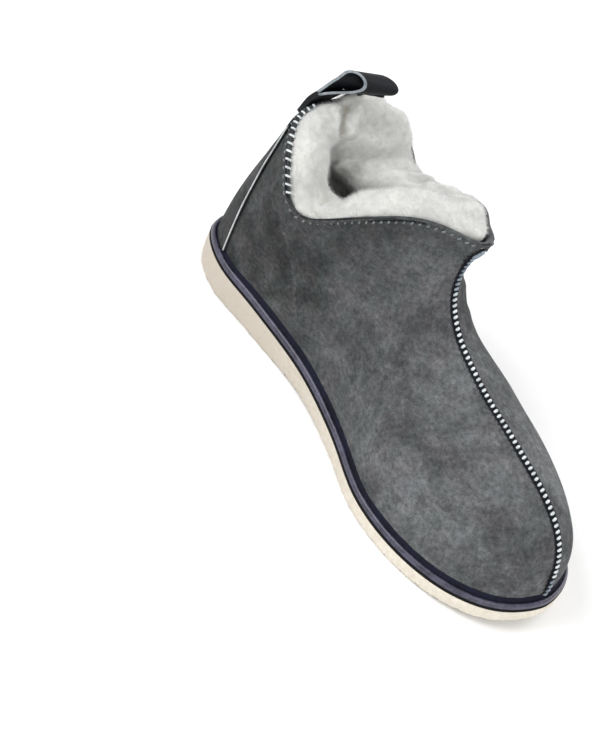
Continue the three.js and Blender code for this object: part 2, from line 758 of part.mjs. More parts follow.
// The pull loop: a leather strap folded into a drop, its two ends sewn over the back strip
function pullLoop() {
  const back = ribs.get(LATERAL)[0];
  const seat = 2 * GAP + STRIP_WALL + LOOP_LEATHER;
  const turn = LOOP_RISE - LOOP_LEATHER - LOOP_EYE / 2;
  const openAt = (rise) => (LOOP_EYE / 2) * ease((rise - LOOP_NECK) / (turn - LOOP_NECK));
  const drop = (grow, low, steps) => {
    const sideOf = (sign) => {
      const points = [];
      for (let i = 0; i < steps; i++) {
        const rise = mix(low, turn, i / steps);
        points.push(new THREE.Vector2(sign * (grow + openAt(rise)), rise));
      }
      return points;
    };
    const arc = [];
    for (let i = 0; i <= steps; i++) {
      const angle = (Math.PI * i) / steps;
      const reach = grow + LOOP_EYE / 2;
      arc.push(new THREE.Vector2(reach * Math.cos(angle), turn + reach * Math.sin(angle)));
    }
    return [...sideOf(1), ...arc, ...sideOf(-1).toReversed()];
  };
  const shape = new THREE.Shape(drop(LOOP_LEATHER, -LOOP_SEWN, 10));
  shape.holes.push(new THREE.Path(drop(0, LOOP_NECK + LOOP_LEATHER, 7)));
  const geometry = new THREE.ExtrudeGeometry(shape, {
    depth: LOOP_WIDTH,
    steps: 3,
    bevelEnabled: false,
  });
  const top = back.point(back.total);
  const along = top.clone().sub(back.point(back.total - LOOP_SEWN)).normalize();
  const out = at(-along.z, 0, along.x);
  const place = geometry.getAttribute("position");
  for (let i = 0; i < place.count; i++) {
    const [off, rise, across] = [place.getX(i), place.getY(i), place.getZ(i) - LOOP_WIDTH / 2];
    const lean = LOOP_LEAN + (LOOP_TWIST * across) / LOOP_WIDTH;
    const forward = lean * clamp(rise / LOOP_RISE) ** LOOP_CURL;
    const below = back.point(back.total + Math.min(0, rise));
    const spot = below
      .addScaledVector(along, Math.max(0, rise))
      .addScaledVector(out, seat + off - forward);
    place.setXYZ(i, spot.x, across + LOOP_SWAY * clamp(rise / LOOP_RISE), spot.z);
  }
  return named("pull_loop", geometry, loopLeather);
}

const slipper = new THREE.Group();
slipper.add(outsole(), welt(), insole(), upper(), fleeceLining(), backStrip(), pullLoop());
slipper.position.x = -HEEL_CENTRE;

export default slipper;
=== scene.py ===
# %% [markdown]
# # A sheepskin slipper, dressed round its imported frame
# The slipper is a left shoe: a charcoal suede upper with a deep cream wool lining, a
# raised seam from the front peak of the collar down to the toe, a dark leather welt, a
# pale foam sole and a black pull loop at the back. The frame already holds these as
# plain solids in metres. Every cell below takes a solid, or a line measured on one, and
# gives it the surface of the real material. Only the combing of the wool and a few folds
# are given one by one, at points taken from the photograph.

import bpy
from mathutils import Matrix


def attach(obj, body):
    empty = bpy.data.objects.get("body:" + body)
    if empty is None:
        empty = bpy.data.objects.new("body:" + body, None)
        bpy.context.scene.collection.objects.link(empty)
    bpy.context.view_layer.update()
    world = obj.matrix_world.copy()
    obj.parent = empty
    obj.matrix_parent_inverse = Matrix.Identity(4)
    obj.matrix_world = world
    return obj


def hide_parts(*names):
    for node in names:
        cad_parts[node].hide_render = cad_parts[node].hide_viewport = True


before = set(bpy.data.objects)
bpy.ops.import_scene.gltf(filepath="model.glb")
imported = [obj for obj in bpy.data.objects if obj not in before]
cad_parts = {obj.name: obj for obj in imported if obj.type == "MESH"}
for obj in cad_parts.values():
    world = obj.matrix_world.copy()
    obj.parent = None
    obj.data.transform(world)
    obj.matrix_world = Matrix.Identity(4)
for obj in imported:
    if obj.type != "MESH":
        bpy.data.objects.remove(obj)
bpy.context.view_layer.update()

import math
import random

import bmesh
import bpy
from mathutils import Matrix, Vector, noise
from mathutils.bvhtree import BVHTree

MM = 0.001
UP = Vector((0, 0, 1))
print("nodes:", sorted(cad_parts))

# %% [markdown]
# ## Camera
# The photograph looks down at the shoe from its inner front side, with the camera rolled,
# so the toe points to the lower right corner. The angles and the distance were fitted to
# points that can be told apart in the photograph, such as the peak of the collar and the
# tip of the toe. The camera comes first, because all later judging is done through it.

# %% Camera
AZIMUTH = math.radians(33.3)
ELEVATION = math.radians(42.1)
ROLL = math.radians(26.7)
DISTANCE = 1181.6 * MM
FOCAL_PIXELS = 2260.7
PICTURE_WIDTH = 600
PICTURE_HEIGHT = 750
AIM = Vector((104, 0, 60)) * MM
AIM_X_PIXEL = 408.1
AIM_Y_PIXEL = 347.4
FILM_WIDTH = 36


def camera_axes(azimuth, elevation, roll):
    """The camera's right, up and back directions in the frame."""
    back = Vector((
        math.sin(azimuth) * math.cos(elevation),
        -math.cos(azimuth) * math.cos(elevation),
        math.sin(elevation),
    ))
    level = Vector((math.cos(azimuth), math.sin(azimuth), 0))
    upright = back.cross(level)
    right = math.cos(roll) * level + math.sin(roll) * upright
    up = math.cos(roll) * upright - math.sin(roll) * level
    return right, up, back


right, up, back = camera_axes(AZIMUTH, ELEVATION, ROLL)
pixel = DISTANCE / FOCAL_PIXELS
place = AIM + back * DISTANCE
place -= right * (AIM_X_PIXEL - PICTURE_WIDTH / 2) * pixel
place += up * (AIM_Y_PIXEL - PICTURE_HEIGHT / 2) * pixel
lens = bpy.data.cameras.new("camera")
lens.sensor_width = FILM_WIDTH
lens.lens = FOCAL_PIXELS * FILM_WIDTH / PICTURE_HEIGHT
camera = bpy.data.objects.new("camera", lens)
camera.matrix_world = Matrix.Translation(place) @ Matrix((right, up, back)).transposed().to_4x4()
bpy.context.scene.collection.objects.link(camera)
bpy.context.scene.camera = camera
print("camera height", round(place.z, 3), "m, lens", round(lens.lens, 1), "mm")

# %% [markdown]
# ## Floor and light
# The shoe was photographed on white paper under wide soft lamps, so its shadows are faint.
# A large sheet stands for the paper. One strong lamp at the front left, two weaker ones and
# a white sky give the same soft light. An open sky alone would leave the leather flat.

# %% Floor, sky and lamps
bpy.context.scene.view_settings.view_transform = "Standard"
FLOOR_REACH = 6
SKY_STRENGTH = 0.62


def flat_floor():
    """A wide sheet under the sole, which belongs to the studio and not to the shoe."""
    corners = [(-1, -1, 0), (1, -1, 0), (1, 1, 0), (-1, 1, 0)]
    mesh = bpy.data.meshes.new("floor")
    mesh.from_pydata([Vector(c) * FLOOR_REACH for c in corners], [], [(0, 1, 2, 3)])
    floor = bpy.data.objects.new("floor", mesh)
    bpy.context.scene.collection.objects.link(floor)
    return floor


def soft_lamp(name, place, size, power):
    """A square lamp that looks at the middle of the shoe."""
    light = bpy.data.lights.new(name, "AREA")
    light.size = size
    light.energy = power
    lamp = bpy.data.objects.new(name, light)
    lamp.location = place
    lamp.rotation_euler = (AIM - Vector(place)).to_track_quat("-Z", "Y").to_euler()
    bpy.context.scene.collection.objects.link(lamp)


floor = flat_floor()
sky = bpy.data.worlds.new("studio")
sky.use_nodes = True
sky.node_tree.nodes["Background"].inputs["Color"].default_value = (1, 1, 1, 1)
sky.node_tree.nodes["Background"].inputs["Strength"].default_value = SKY_STRENGTH
bpy.context.scene.world = sky
soft_lamp("key", (-0.55, -0.85, 1.25), 0.9, 17)
soft_lamp("fill", (1.3, -0.7, 0.9), 1.0, 9)
soft_lamp("rim", (0.2, 1.2, 0.9), 0.8, 8)
print("three lamps and a white sky")

# %% [markdown]
# ## A short way to write materials
# A material in Blender is a graph of nodes. Writing each node, socket and link by hand
# takes many lines, so one small helper places a node, fills or wires its inputs and hands
# back the output to use next. A value that is the same all over a surface is set on the
# shader's own socket, and only what changes over the surface is wired in.

# %% Node helpers
def tone(code):
    """A paint code such as 4a4d4f as the linear colour that shaders take."""
    shares = [int(code[i : i + 2], 16) / 255 for i in (0, 2, 4)]
    lit = [s / 12.92 if s <= 0.04045 else ((s + 0.055) / 1.055) ** 2.4 for s in shares]
    return (*lit, 1.0)


def put(tree, kind, inputs, settings=(), output=0):
    """Places a node. Inputs are given by name or number, as a value or as a socket."""
    node = tree.nodes.new(kind)
    for name, value in dict(settings).items():
        setattr(node, name, value)
    for key, value in inputs.items():
        socket = node.inputs[key]
        if isinstance(value, bpy.types.NodeSocket):
            tree.links.new(value, socket)
        else:
            socket.default_value = value
    return node.outputs[output]


def blend_tones(tree, mask, low, high):
    """A colour that goes from one tone to another as the mask goes from 0 to 1."""
    return put(tree, "ShaderNodeMix", {0: mask, 6: low, 7: high}, {"data_type": "RGBA"}, 2)


def combine(tree, operation, first, second):
    """Arithmetic on two values."""
    return put(tree, "ShaderNodeMath", {0: first, 1: second}, {"operation": operation})


def spread(tree, value, low, high):
    """Stretches the part of a value between low and high to the range 0 to 1, softly."""
    kind = {"interpolation_type": "SMOOTHSTEP", "clamp": True}
    reach = {"Value": value, "From Min": low, "From Max": high}
    return put(tree, "ShaderNodeMapRange", reach, kind)


def shaded(tree, colour, mask, low, high):
    """A colour made darker or lighter: times low where the mask is 0, and high where it is 1."""
    times = put(tree, "ShaderNodeMapRange", {"Value": mask, "To Min": low, "To Max": high})
    kind = {"operation": "SCALE"}
    return put(tree, "ShaderNodeVectorMath", {0: colour, "Scale": times}, kind)


def own_place(tree):
    """The point on the piece itself, in metres, so a texture stays put in every view."""
    return put(tree, "ShaderNodeTexCoord", {}, (), "Object")


def along_shoe(tree, heel, toe):
    """How far along the shoe a point is, as a soft step from 0 to 1."""
    axes = tree.nodes.new("ShaderNodeSeparateXYZ")
    tree.links.new(own_place(tree), axes.inputs[0])
    return spread(tree, axes.outputs["X"], heel, toe)


def group_of(name, inputs, output):
    """An empty node group with named number inputs and one named output."""
    group = bpy.data.node_groups.new(name, "ShaderNodeTree")
    face = group.interface
    face.new_socket(name="Place", in_out="INPUT", socket_type="NodeSocketVector")
    for title, start in inputs.items():
        socket = face.new_socket(name=title, in_out="INPUT", socket_type="NodeSocketFloat")
        socket.default_value = start
    face.new_socket(name=output, in_out="OUTPUT", socket_type="NodeSocketFloat")
    entry = group.nodes.new("NodeGroupInput")
    leave = group.nodes.new("NodeGroupOutput")
    return group, entry.outputs, leave.inputs


def use_group(tree, group, **values):
    """Places a node group in a material and hands back its only output."""
    node = tree.nodes.new("ShaderNodeGroup")
    node.node_tree = group
    tree.links.new(own_place(tree), node.inputs["Place"])
    for name, value in values.items():
        node.inputs[name].default_value = value
    return node.outputs[0]


print("node helpers ready")

# %% [markdown]
# ## Three effects as node groups
# Real leather, wool and foam are never one even colour: dye takes unevenly and the nap is
# brushed in patches. One group makes such soft patches as a mask. Another makes a fine
# grain as a height, which a Bump node turns into small shading. The third makes a slanting
# stripe as a mask, for the painted highlight along the fold in the inner quarter and the
# painted shadow beside it. Each is built once and placed in a material with that
# material's own values.

# %% Shared node groups
def patchy_group():
    """Soft patches at two sizes, as a mask from 0 to 1."""
    group, into, out = group_of("patchy_tone", {"Scale": 40.0, "Fine_Share": 0.4}, "Mask")
    soft = {"Scale": into["Scale"], "Vector": into["Place"], "Detail": 4.0, "Roughness": 0.62}
    broad = put(group, "ShaderNodeTexNoise", soft)
    closer = combine(group, "MULTIPLY", into["Scale"], 4.7)
    small = {"Scale": closer, "Vector": into["Place"], "Detail": 3.0, "Roughness": 0.6}
    fine = put(group, "ShaderNodeTexNoise", small)
    both = put(group, "ShaderNodeMix", {0: into["Fine_Share"], 2: broad, 3: fine})
    group.links.new(spread(group, both, 0.34, 0.66), out["Mask"])
    return group


def grain_group():
    """Fine irregular grain, as a height from 0 to 1."""
    group, into, out = group_of("fine_grain", {"Scale": 900.0, "Stretch": 1.0}, "Height")
    narrow = {"X": into["Stretch"], "Y": 1.0, "Z": 1.0}
    stretch = put(group, "ShaderNodeCombineXYZ", narrow)
    bent = {0: into["Place"], 1: stretch}
    place = put(group, "ShaderNodeVectorMath", bent, {"operation": "MULTIPLY"})
    speckle = {"Scale": into["Scale"], "Vector": place, "Detail": 5.0, "Roughness": 0.7}
    group.links.new(put(group, "ShaderNodeTexNoise", speckle), out["Height"])
    return group


def slant_group():
    """A soft upright stripe on the inner side that slants with the fold there, as a mask."""
    group, into, out = group_of("slanting_stripe", {"Centre": 0.015, "Width": 0.01}, "Mask")
    axes = group.nodes.new("ShaderNodeSeparateXYZ")
    group.links.new(into["Place"], axes.inputs[0])
    x, y, z = axes.outputs
    ripple = put(group, "ShaderNodeTexNoise", {"Vector": into["Place"], "Scale": 60.0})
    wander = combine(group, "MULTIPLY", combine(group, "SUBTRACT", ripple, 0.5), 0.006)
    down = combine(group, "MULTIPLY", combine(group, "SUBTRACT", FOLD_Z, z), FOLD_SLOPE)
    line = combine(group, "ADD", combine(group, "ADD", into["Centre"], down), wander)
    gap = combine(group, "ABSOLUTE", combine(group, "SUBTRACT", x, line), 0.0)
    share = combine(group, "DIVIDE", gap, into["Width"])
    near = spread(group, share, 1.0, 0.0)
    inner = spread(group, y, -0.01, -0.02)
    below = spread(group, z, FOLD_Z + 0.004, FOLD_Z - 0.012)
    high = spread(group, z, 0.03, 0.05)
    both = combine(group, "MULTIPLY", near, inner)
    ends = combine(group, "MULTIPLY", below, high)
    group.links.new(combine(group, "MULTIPLY", both, ends), out["Mask"])
    return group


# where the fold starts under the collar, in metres, and how far it slants as it goes down
FOLD_X = 0.0148
FOLD_Z = 0.0914
FOLD_SLOPE = 0.56
patchy = patchy_group()
grain = grain_group()
slant = slant_group()
print("groups:", patchy.name, grain.name, slant.name)

# %% [markdown]
# ## The materials
# Suede is leather with its surface raised to a nap: matt, mottled, and lighter where the
# light grazes it, which the shader's sheen gives. Wool is brighter and softer still, and
# lets light through its pile, so it scatters some under its surface. The welt and the
# pull loop are smooth dyed leather with a little coat. The thread is a waxed yarn, pale
# where it is new and dull where it is rubbed. The sole is a cut foam with small open cells.

# %% Materials
def new_material(name, roughness, settings=()):
    """A material with a Principled shader, and its node tree."""
    material = bpy.data.materials.new(name)
    material.use_nodes = True
    tree = material.node_tree
    shader = tree.nodes["Principled BSDF"]
    shader.inputs["Roughness"].default_value = roughness
    for key, value in dict(settings).items():
        shader.inputs[key].default_value = value
    return material, tree, shader


def two_tone(tree, shader, scale, dark, light):
    """Colours a surface with two tones in soft patches, and hands back the patches."""
    patches = use_group(tree, patchy, Scale=scale, Fine_Share=0.5)
    colour = blend_tones(tree, patches, tone(dark), tone(light))
    tree.links.new(colour, shader.inputs["Base Color"])
    return patches


def give_bump(tree, shader, layers):
    """Bump nodes in a row, each with its height, strength and depth in millimetres."""
    normal = None
    for height, strength, depth in layers:
        inputs = {"Height": height, "Strength": strength, "Distance": depth * MM}
        if normal is not None:
            inputs["Normal"] = normal
        normal = put(tree, "ShaderNodeBump", inputs)
    tree.links.new(normal, shader.inputs["Normal"])


def suede_material(name, heel, toe, inks, fold=False):
    """Brushed charcoal suede, darker at the heel, with cloudy patches and a short nap."""
    settings = {"Sheen Weight": 0.12, "Sheen Roughness": 0.5, "Specular IOR Level": 0.08}
    settings["Sheen Tint"] = tone("9a9b9c")
    material, tree, shader = new_material(name, 0.95, settings)
    colour = blend_tones(tree, along_shoe(tree, 0.01, 0.18), tone(heel), tone(toe))
    for ink, scale in zip(inks, (62.0, 88.0)):
        dye = use_group(tree, patchy, Scale=scale, Fine_Share=0.3)
        tinted = combine(tree, "MULTIPLY", dye, 0.34)
        colour = blend_tones(tree, tinted, colour, tone(ink))
    clouds = use_group(tree, patchy, Scale=24.0, Fine_Share=0.35)
    colour = shaded(tree, colour, clouds, 0.64, 1.36)
    smudges = use_group(tree, patchy, Scale=105.0, Fine_Share=0.45)
    colour = shaded(tree, colour, smudges, 0.8, 1.2)
    flecks = use_group(tree, patchy, Scale=420.0, Fine_Share=0.5)
    colour = shaded(tree, colour, flecks, 0.68, 1.32)
    if fold:
        # painted shadow beside the fold in the inner quarter
        shadow = use_group(tree, slant, Centre=FOLD_X - 0.009, Width=0.011)
        colour = shaded(tree, colour, shadow, 1.0, 0.72)
        # painted highlight along the line of the fold
        rub_and_highlight = use_group(tree, slant, Centre=FOLD_X + 0.001, Width=0.0022)
        colour = shaded(tree, colour, rub_and_highlight, 1.0, 1.5)
    tree.links.new(colour, shader.inputs["Base Color"])
    nap = use_group(tree, grain, Scale=1100.0, Stretch=1.0)
    brushed = use_group(tree, grain, Scale=240.0, Stretch=0.6)
    give_bump(tree, shader, [(brushed, 0.9, 0.7), (nap, 0.9, 0.4)])
    return material


def wool_material(name, shade, bright, hollow_shade_tone):
    """Shorn cream wool, with painted shade, darker and yellower, in the hollows between its
    locks.
    """
    settings = {"Sheen Weight": 0.5, "Sheen Roughness": 0.6, "Specular IOR Level": 0.1}
    settings["Subsurface Weight"] = 0.35
    settings["Subsurface Radius"] = (1.0, 0.96, 0.88)
    settings["Subsurface Scale"] = 6 * MM
    material, tree, shader = new_material(name, 1.0, settings)
    patches = use_group(tree, patchy, Scale=55.0, Fine_Share=0.5)
    base = blend_tones(tree, patches, tone(shade), tone(bright))
    # painted shade in the hollows of the pile, where the surface's pointiness is low
    bent = put(tree, "ShaderNodeNewGeometry", {}, (), "Pointiness")
    hollow_shade_mask = spread(tree, bent, 0.5, 0.44)
    colour = blend_tones(tree, hollow_shade_mask, base, tone(hollow_shade_tone))
    tree.links.new(colour, shader.inputs["Base Color"])
    curl = use_group(tree, grain, Scale=420.0, Stretch=1.0)
    fibre = use_group(tree, grain, Scale=1500.0, Stretch=0.4)
    give_bump(tree, shader, [(curl, 0.6, 0.8), (fibre, 0.6, 0.3)])
    return material


def leather_material(name, dark, light, roughness, coat):
    """Smooth dyed leather with fine grain and a rubbed, uneven shine."""
    settings = {"Coat Weight": coat, "Coat Roughness": 0.3, "Specular IOR Level": 0.2}
    material, tree, shader = new_material(name, roughness, settings)
    patches = two_tone(tree, shader, 90.0, dark, light)
    uneven = {"Value": patches, "To Min": roughness, "To Max": roughness + 0.2}
    rub_and_highlight = put(tree, "ShaderNodeMapRange", uneven)
    tree.links.new(rub_and_highlight, shader.inputs["Roughness"])
    pores = use_group(tree, grain, Scale=1300.0, Stretch=1.0)
    folds = use_group(tree, grain, Scale=260.0, Stretch=1.0)
    give_bump(tree, shader, [(folds, 0.4, 0.3), (pores, 0.35, 0.15)])
    return material


def foam_material(name, heel, toe):
    """Cream foam, greyer at the heel and warmer at the toe, with small open cells."""
    material, tree, shader = new_material(name, 0.8, {"Specular IOR Level": 0.25})
    base = blend_tones(tree, along_shoe(tree, 0.0, 0.2), tone(heel), tone(toe))
    patches = use_group(tree, patchy, Scale=70.0, Fine_Share=0.6)
    grey = combine(tree, "MULTIPLY", patches, 0.35)
    tree.links.new(blend_tones(tree, grey, base, tone("b9ae9c")), shader.inputs["Base Color"])
    cells = {"Scale": 1100.0, "Vector": own_place(tree), "Randomness": 1.0}
    pits = put(tree, "ShaderNodeTexVoronoi", cells)
    rough = use_group(tree, grain, Scale=300.0, Stretch=1.0)
    give_bump(tree, shader, [(rough, 0.35, 0.5), (pits, 0.4, 0.3)])
    return material


def thread_material(name, dark, light):
    """Waxed yarn, its twist shown by fine slanting bumps."""
    material, tree, shader = new_material(name, 0.6, {"Sheen Weight": 0.2})
    two_tone(tree, shader, 160.0, dark, light)
    twist = use_group(tree, grain, Scale=2400.0, Stretch=0.5)
    give_bump(tree, shader, [(twist, 0.6, 0.15)])
    return material


def plain_floor_material(name):
    """Nearly white paper, with just enough tooth to be a surface."""
    material, tree, shader = new_material(name, 0.9, {"Specular IOR Level": 0.1})
    two_tone(tree, shader, 3.0, "f4f4f4", "f8f8f8")
    return material


suede = suede_material("suede", "353738", "616365", ("46524e", "5e5659"), fold=True)
collar_suede = suede_material("collar_suede", "202326", "282a2e", ("1c2423", "24242f"))
ridge_suede = suede_material("ridge_suede", "141618", "191b1f", ("121817", "171724"))
# the last tone is the painted shade in the hollows of the wool
wool = wool_material("wool", "c3c4c1", "d6d6d2", "b8b4a6")
welt_leather = leather_material("welt_leather", "282736", "4c4a5e", 0.35, 0.7)
# the groove over the welt: navy leather made darker than the cord, which paints the groove's
# shade
gutter_shade_leather = leather_material("gutter_shade_leather", "0e0f1a", "1c1e2e", 0.8, 0.0)
# the black line in the crease between welt and sole: painted shade
welt_crease_shade = leather_material("welt_crease_shade", "050506", "0c0c0e", 0.7, 0.0)
loop_leather = leather_material("loop_leather", "0c0e11", "181b20", 0.55, 0.05)
raw_edge = leather_material("raw_leather_edge", "6f767b", "959ca0", 0.8, 0.0)
strip_edge = leather_material("strip_raw_edge", "a9adae", "d9dcdc", 0.8, 0.0)
crepe = foam_material("crepe_foam", "c1b9ae", "e4ddd0")
pale_thread = thread_material("pale_thread", "9fa7ab", "e6ebec")
dull_thread = thread_material("dull_thread", "5f6a77", "96a3b0")
dim_thread = thread_material("dim_thread", "4f5355", "74797b")
# dark tubes in the needle holes beside the seam, which paint the shade in the holes
needle_hole_shade = thread_material("needle_hole_shade", "0c0e10", "1c2023")
floor.data.materials.append(plain_floor_material("paper"))
print("materials:", len(bpy.data.materials))

# %% [markdown]
# ## Copies that may change
# The frame's own solids are never altered. Where a surface should be rounder or softer
# than its solid, the solid's mesh is copied, its split corners are joined, its triangles
# are paired to four-sided faces, and a Subdivision modifier rounds it. Edges that are
# sharp on the real thing get a crease first, which keeps the rounding away from them.

# %% Mesh helpers
JOIN_GAP = 0.02 * MM
PAIRING_ANGLE = math.radians(40)


def link(name, mesh):
    """A new object in the scene."""
    piece = bpy.data.objects.new(name, mesh)
    bpy.context.scene.collection.objects.link(piece)
    return piece


def settle(piece):
    """Turns the piece's modifiers into plain mesh."""
    graph = bpy.context.evaluated_depsgraph_get()
    mesh = bpy.data.meshes.new_from_object(piece.evaluated_get(graph))
    piece.modifiers.clear()
    piece.data = mesh
    return piece


def copy_solid(node, name, crease_angle=None):
    """A copy of a solid with joined corners and four-sided faces."""
    form = bmesh.new()
    form.from_mesh(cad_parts[node].data)
    bmesh.ops.remove_doubles(form, verts=form.verts, dist=JOIN_GAP)
    bmesh.ops.join_triangles(
        form,
        faces=form.faces,
        angle_face_threshold=PAIRING_ANGLE,
        angle_shape_threshold=PAIRING_ANGLE,
    )
    bmesh.ops.recalc_face_normals(form, faces=form.faces)
    if crease_angle is not None:
        creases = form.edges.layers.float.new("crease_edge")
        for edge in form.edges:
            if len(edge.link_faces) == 2 and edge.calc_face_angle() > math.radians(crease_angle):
                edge[creases] = 1.0
    mesh = bpy.data.meshes.new(name)
    form.to_mesh(mesh)
    form.free()
    return link(name, mesh)


def rounded(piece, levels):
    """Rounds a piece by subdivision and makes the result its mesh."""
    modifier = piece.modifiers.new("round", "SUBSURF")
    modifier.levels = levels
    modifier.render_levels = levels
    return settle(piece)


def smooth_faces(piece):
    """Shades the whole piece smoothly."""
    piece.data.shade_smooth()
    return piece


def dress(piece, material, nodes=()):
    """Gives a piece its material and its place in the frame, and hides the solids it stands for.
    """
    if not piece.data.materials:
        piece.data.materials.append(material)
    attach(piece, "root")
    if nodes:
        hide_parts(*nodes)
    size = [round(s / MM, 1) for s in piece.dimensions]
    print(piece.name, len(piece.data.polygons), "faces,", size, "mm")
    return piece


def tree_of(piece):
    """A search tree that finds the nearest point of a piece or where a ray meets it."""
    vertices = [v.co for v in piece.data.vertices]
    faces = [tuple(p.vertices) for p in piece.data.polygons]
    return BVHTree.FromPolygons(vertices, faces)


def mesh_from(name, vertices, faces):
    """A smooth object from plain lists."""
    mesh = bpy.data.meshes.new(name)
    mesh.from_pydata(vertices, [], faces)
    mesh.update()
    return smooth_faces(link(name, mesh))


def heading(angle):
    """A level direction."""
    return Vector((math.cos(angle), math.sin(angle), 0))


def ease(share):
    """A soft step from 0 to 1."""
    s = min(1.0, max(0.0, share))
    return s * s * (3 - 2 * s)


print("mesh helpers ready")

# %% [markdown]
# ## The suede upper
# The upper is one skin turned over the last. Its solid is right in form but made of flat
# faces a few millimetres wide. Two rounds of subdivision make it smooth. A few soft pushes
# let the collar flare and the throat fill as stuffed leather does. Then the creases of
# worn sheepskin are pressed in along short lines, each with a soft trough and a low ridge
# beside it, because that is how thick padded leather folds.

# %% Upper
UPPER_CREASES = [
    # the soft fold down the inner quarter, from under the collar to the welt
    ([(14.8, -36.5, 91.4), (21.8, -35.1, 82.3), (26.7, -30.8, 70.1), (34.3, -27.1, 58.2),
      (47.7, -24.1, 32.8)], 5.5, 1.4),
    # two short folds where the front of the ankle bends, one on each side
    ([(108, -17, 92), (103, -25, 84), (95, -31, 78)], 6.0, 0.7),
    ([(108, 22, 92), (102, 30, 84), (94, 35, 78)], 6.0, 0.7),
    # a shallow dent across the inner side of the toes
    ([(160, -40, 50), (178, -38, 52), (196, -30, 55)], 9.0, 0.5),
]
PUCKER_DEPTH = 0.25
PUCKER_SCALE = 55
# a crease's parts, as shares of its width, and how high its ridge is for its depth
TROUGH = 0.55
RIDGE_AWAY = 1.1
RIDGE_WIDTH = 0.5
RIDGE_HEIGHT = 0.45
CREASE_REACH = 2.2
CREASE_FADE = 0.2
# the collar's peak stands out in front, as padded leather does where its seam ends
PEAK_FLARE = ((109, 5, 143), 17, (4.5, 0, 0))
FAR_FLARE = [
    # the far side of the peak and the far dip of the collar lean out as well
    ((104, 11, 143), 14, (1, 3, 0)),
    ((26, 40, 108), 22, (0, 3.2, 1)),
]
THROAT_PUSH = [
    # on the far side the throat is full under the peak and hollow below it
    ((103, 11, 130), 13, (0.5, 5, 0)),
    ((105, 15, 109), 12, (0, -3.5, 0)),
]


def nudge(piece, strokes):
    """Soft pushes, each with a centre, a reach and a shift in millimetres."""
    for vertex in piece.data.vertices:
        shift = Vector((0, 0, 0))
        for centre, reach, push in strokes:
            share = 1 - (vertex.co - Vector(centre) * MM).length / (reach * MM)
            if share > 0:
                shift += Vector(push) * MM * ease(share)
        vertex.co = vertex.co + shift


def nearest_on_line(point, line):
    """How far a point is from a line of points, and how far along the line it is."""
    best = (1e9, 0.0)
    for i in range(len(line) - 1):
        a = line[i]
        step = line[i + 1] - a
        share = min(1.0, max(0.0, (point - a).dot(step) / step.length_squared))
        gap = (point - a - step * share).length
        if gap < best[0]:
            best = (gap, (i + share) / (len(line) - 1))
    return best


def press_creases(piece, creases):
    """Moves vertices in along each crease, and a little out beside it."""
    lines = [([Vector(p) * MM for p in line], w * MM, d * MM) for line, w, d in creases]
    normals = [n.vector.copy() for n in piece.data.vertex_normals]
    for vertex, normal in zip(piece.data.vertices, normals):
        shift = 0.0
        for line, width, depth in lines:
            gap, along = nearest_on_line(vertex.co, line)
            if gap < width * CREASE_REACH:
                fade = ease(along / CREASE_FADE) * ease((1 - along) / CREASE_FADE)
                trough = math.exp(-((gap / (width * TROUGH)) ** 2))
                ridge = math.exp(-(((gap - width * RIDGE_AWAY) / (width * RIDGE_WIDTH)) ** 2))
                shift += depth * fade * (RIDGE_HEIGHT * ridge - trough)
        shift += PUCKER_DEPTH * MM * noise.noise(vertex.co * PUCKER_SCALE)
        vertex.co = vertex.co + normal * shift


upper = rounded(copy_solid("upper", "suede_upper"), 2)
nudge(upper, [PEAK_FLARE, *FAR_FLARE, *THROAT_PUSH])
press_creases(upper, UPPER_CREASES)
smooth_faces(upper)
dress(upper, suede, ["upper"])
skin = tree_of(upper)

# %% [markdown]
# ## The collar's line
# The collar's edge is the cut rim of the sheepskin, and its roll and stitches follow it.
# So its path is measured on the upper: level rays come in from all round the collar, and
# halving finds the highest one that still meets leather. This keeps each trim seated on
# its carrier, where a drawn line would drift off it with each change of shape.

# %% Collar edge
COLLAR_CENTRE = Vector((38, 0, 0)) * MM
COLLAR_STATIONS = 220
COLLAR_REACH = 0.3
COLLAR_LEVELS = (60 * MM, 150 * MM)
RIM_INSET = 0.8 * MM


def collar_point(angle):
    """The outer top edge of the upper in one direction from the collar's centre."""
    out = heading(angle)
    low, high = COLLAR_LEVELS
    found = None
    while high - low > 0.02 * MM:
        level = (low + high) / 2
        start = COLLAR_CENTRE + out * COLLAR_REACH + UP * level
        hit = skin.ray_cast(start, -out, COLLAR_REACH)[0]
        if hit is None:
            high = level
        else:
            low = level
            found = hit
    start = COLLAR_CENTRE + out * COLLAR_REACH + UP * (low - RIM_INSET)
    return found, skin.ray_cast(start, -out, COLLAR_REACH)[0]


collar_edge = [collar_point(2 * math.pi * i / COLLAR_STATIONS) for i in range(COLLAR_STATIONS)]
heights = [round(top.z / MM, 1) for top, side in collar_edge]
print("collar from", min(heights), "to", max(heights), "mm high")

# %% [markdown]
# ## The seam's line
# The two halves of the upper are joined from the collar's peak over the instep to the
# toe. The line is found by rays from a pivot in front of the shoe that sweep over the
# crest. A flat cut at the middle would be simpler, but the seam starts a little to the
# outer side and drifts back, as on the photographed shoe.

# %% Seam line
SEAM_PIVOT = Vector((289, 0, 165)) * MM
SEAM_START = 149
SEAM_END = 290
ROW_SHIFT = 41
SEAM_SIDE_START = 5
SEAM_SIDE_END = -0.86
SEAM_SETTLED = 0.953
SEAM_STATIONS = 700
SWEEP_FROM = 8
SWEEP_OVER = 78


def seam_side(x):
    """How far to the side the seam runs, for a place along the shoe."""
    along = (x / MM + ROW_SHIFT - SEAM_START) / (SEAM_END - SEAM_START)
    share = ease(along / SEAM_SETTLED)
    return (SEAM_SIDE_START + (SEAM_SIDE_END - SEAM_SIDE_START) * share) * MM


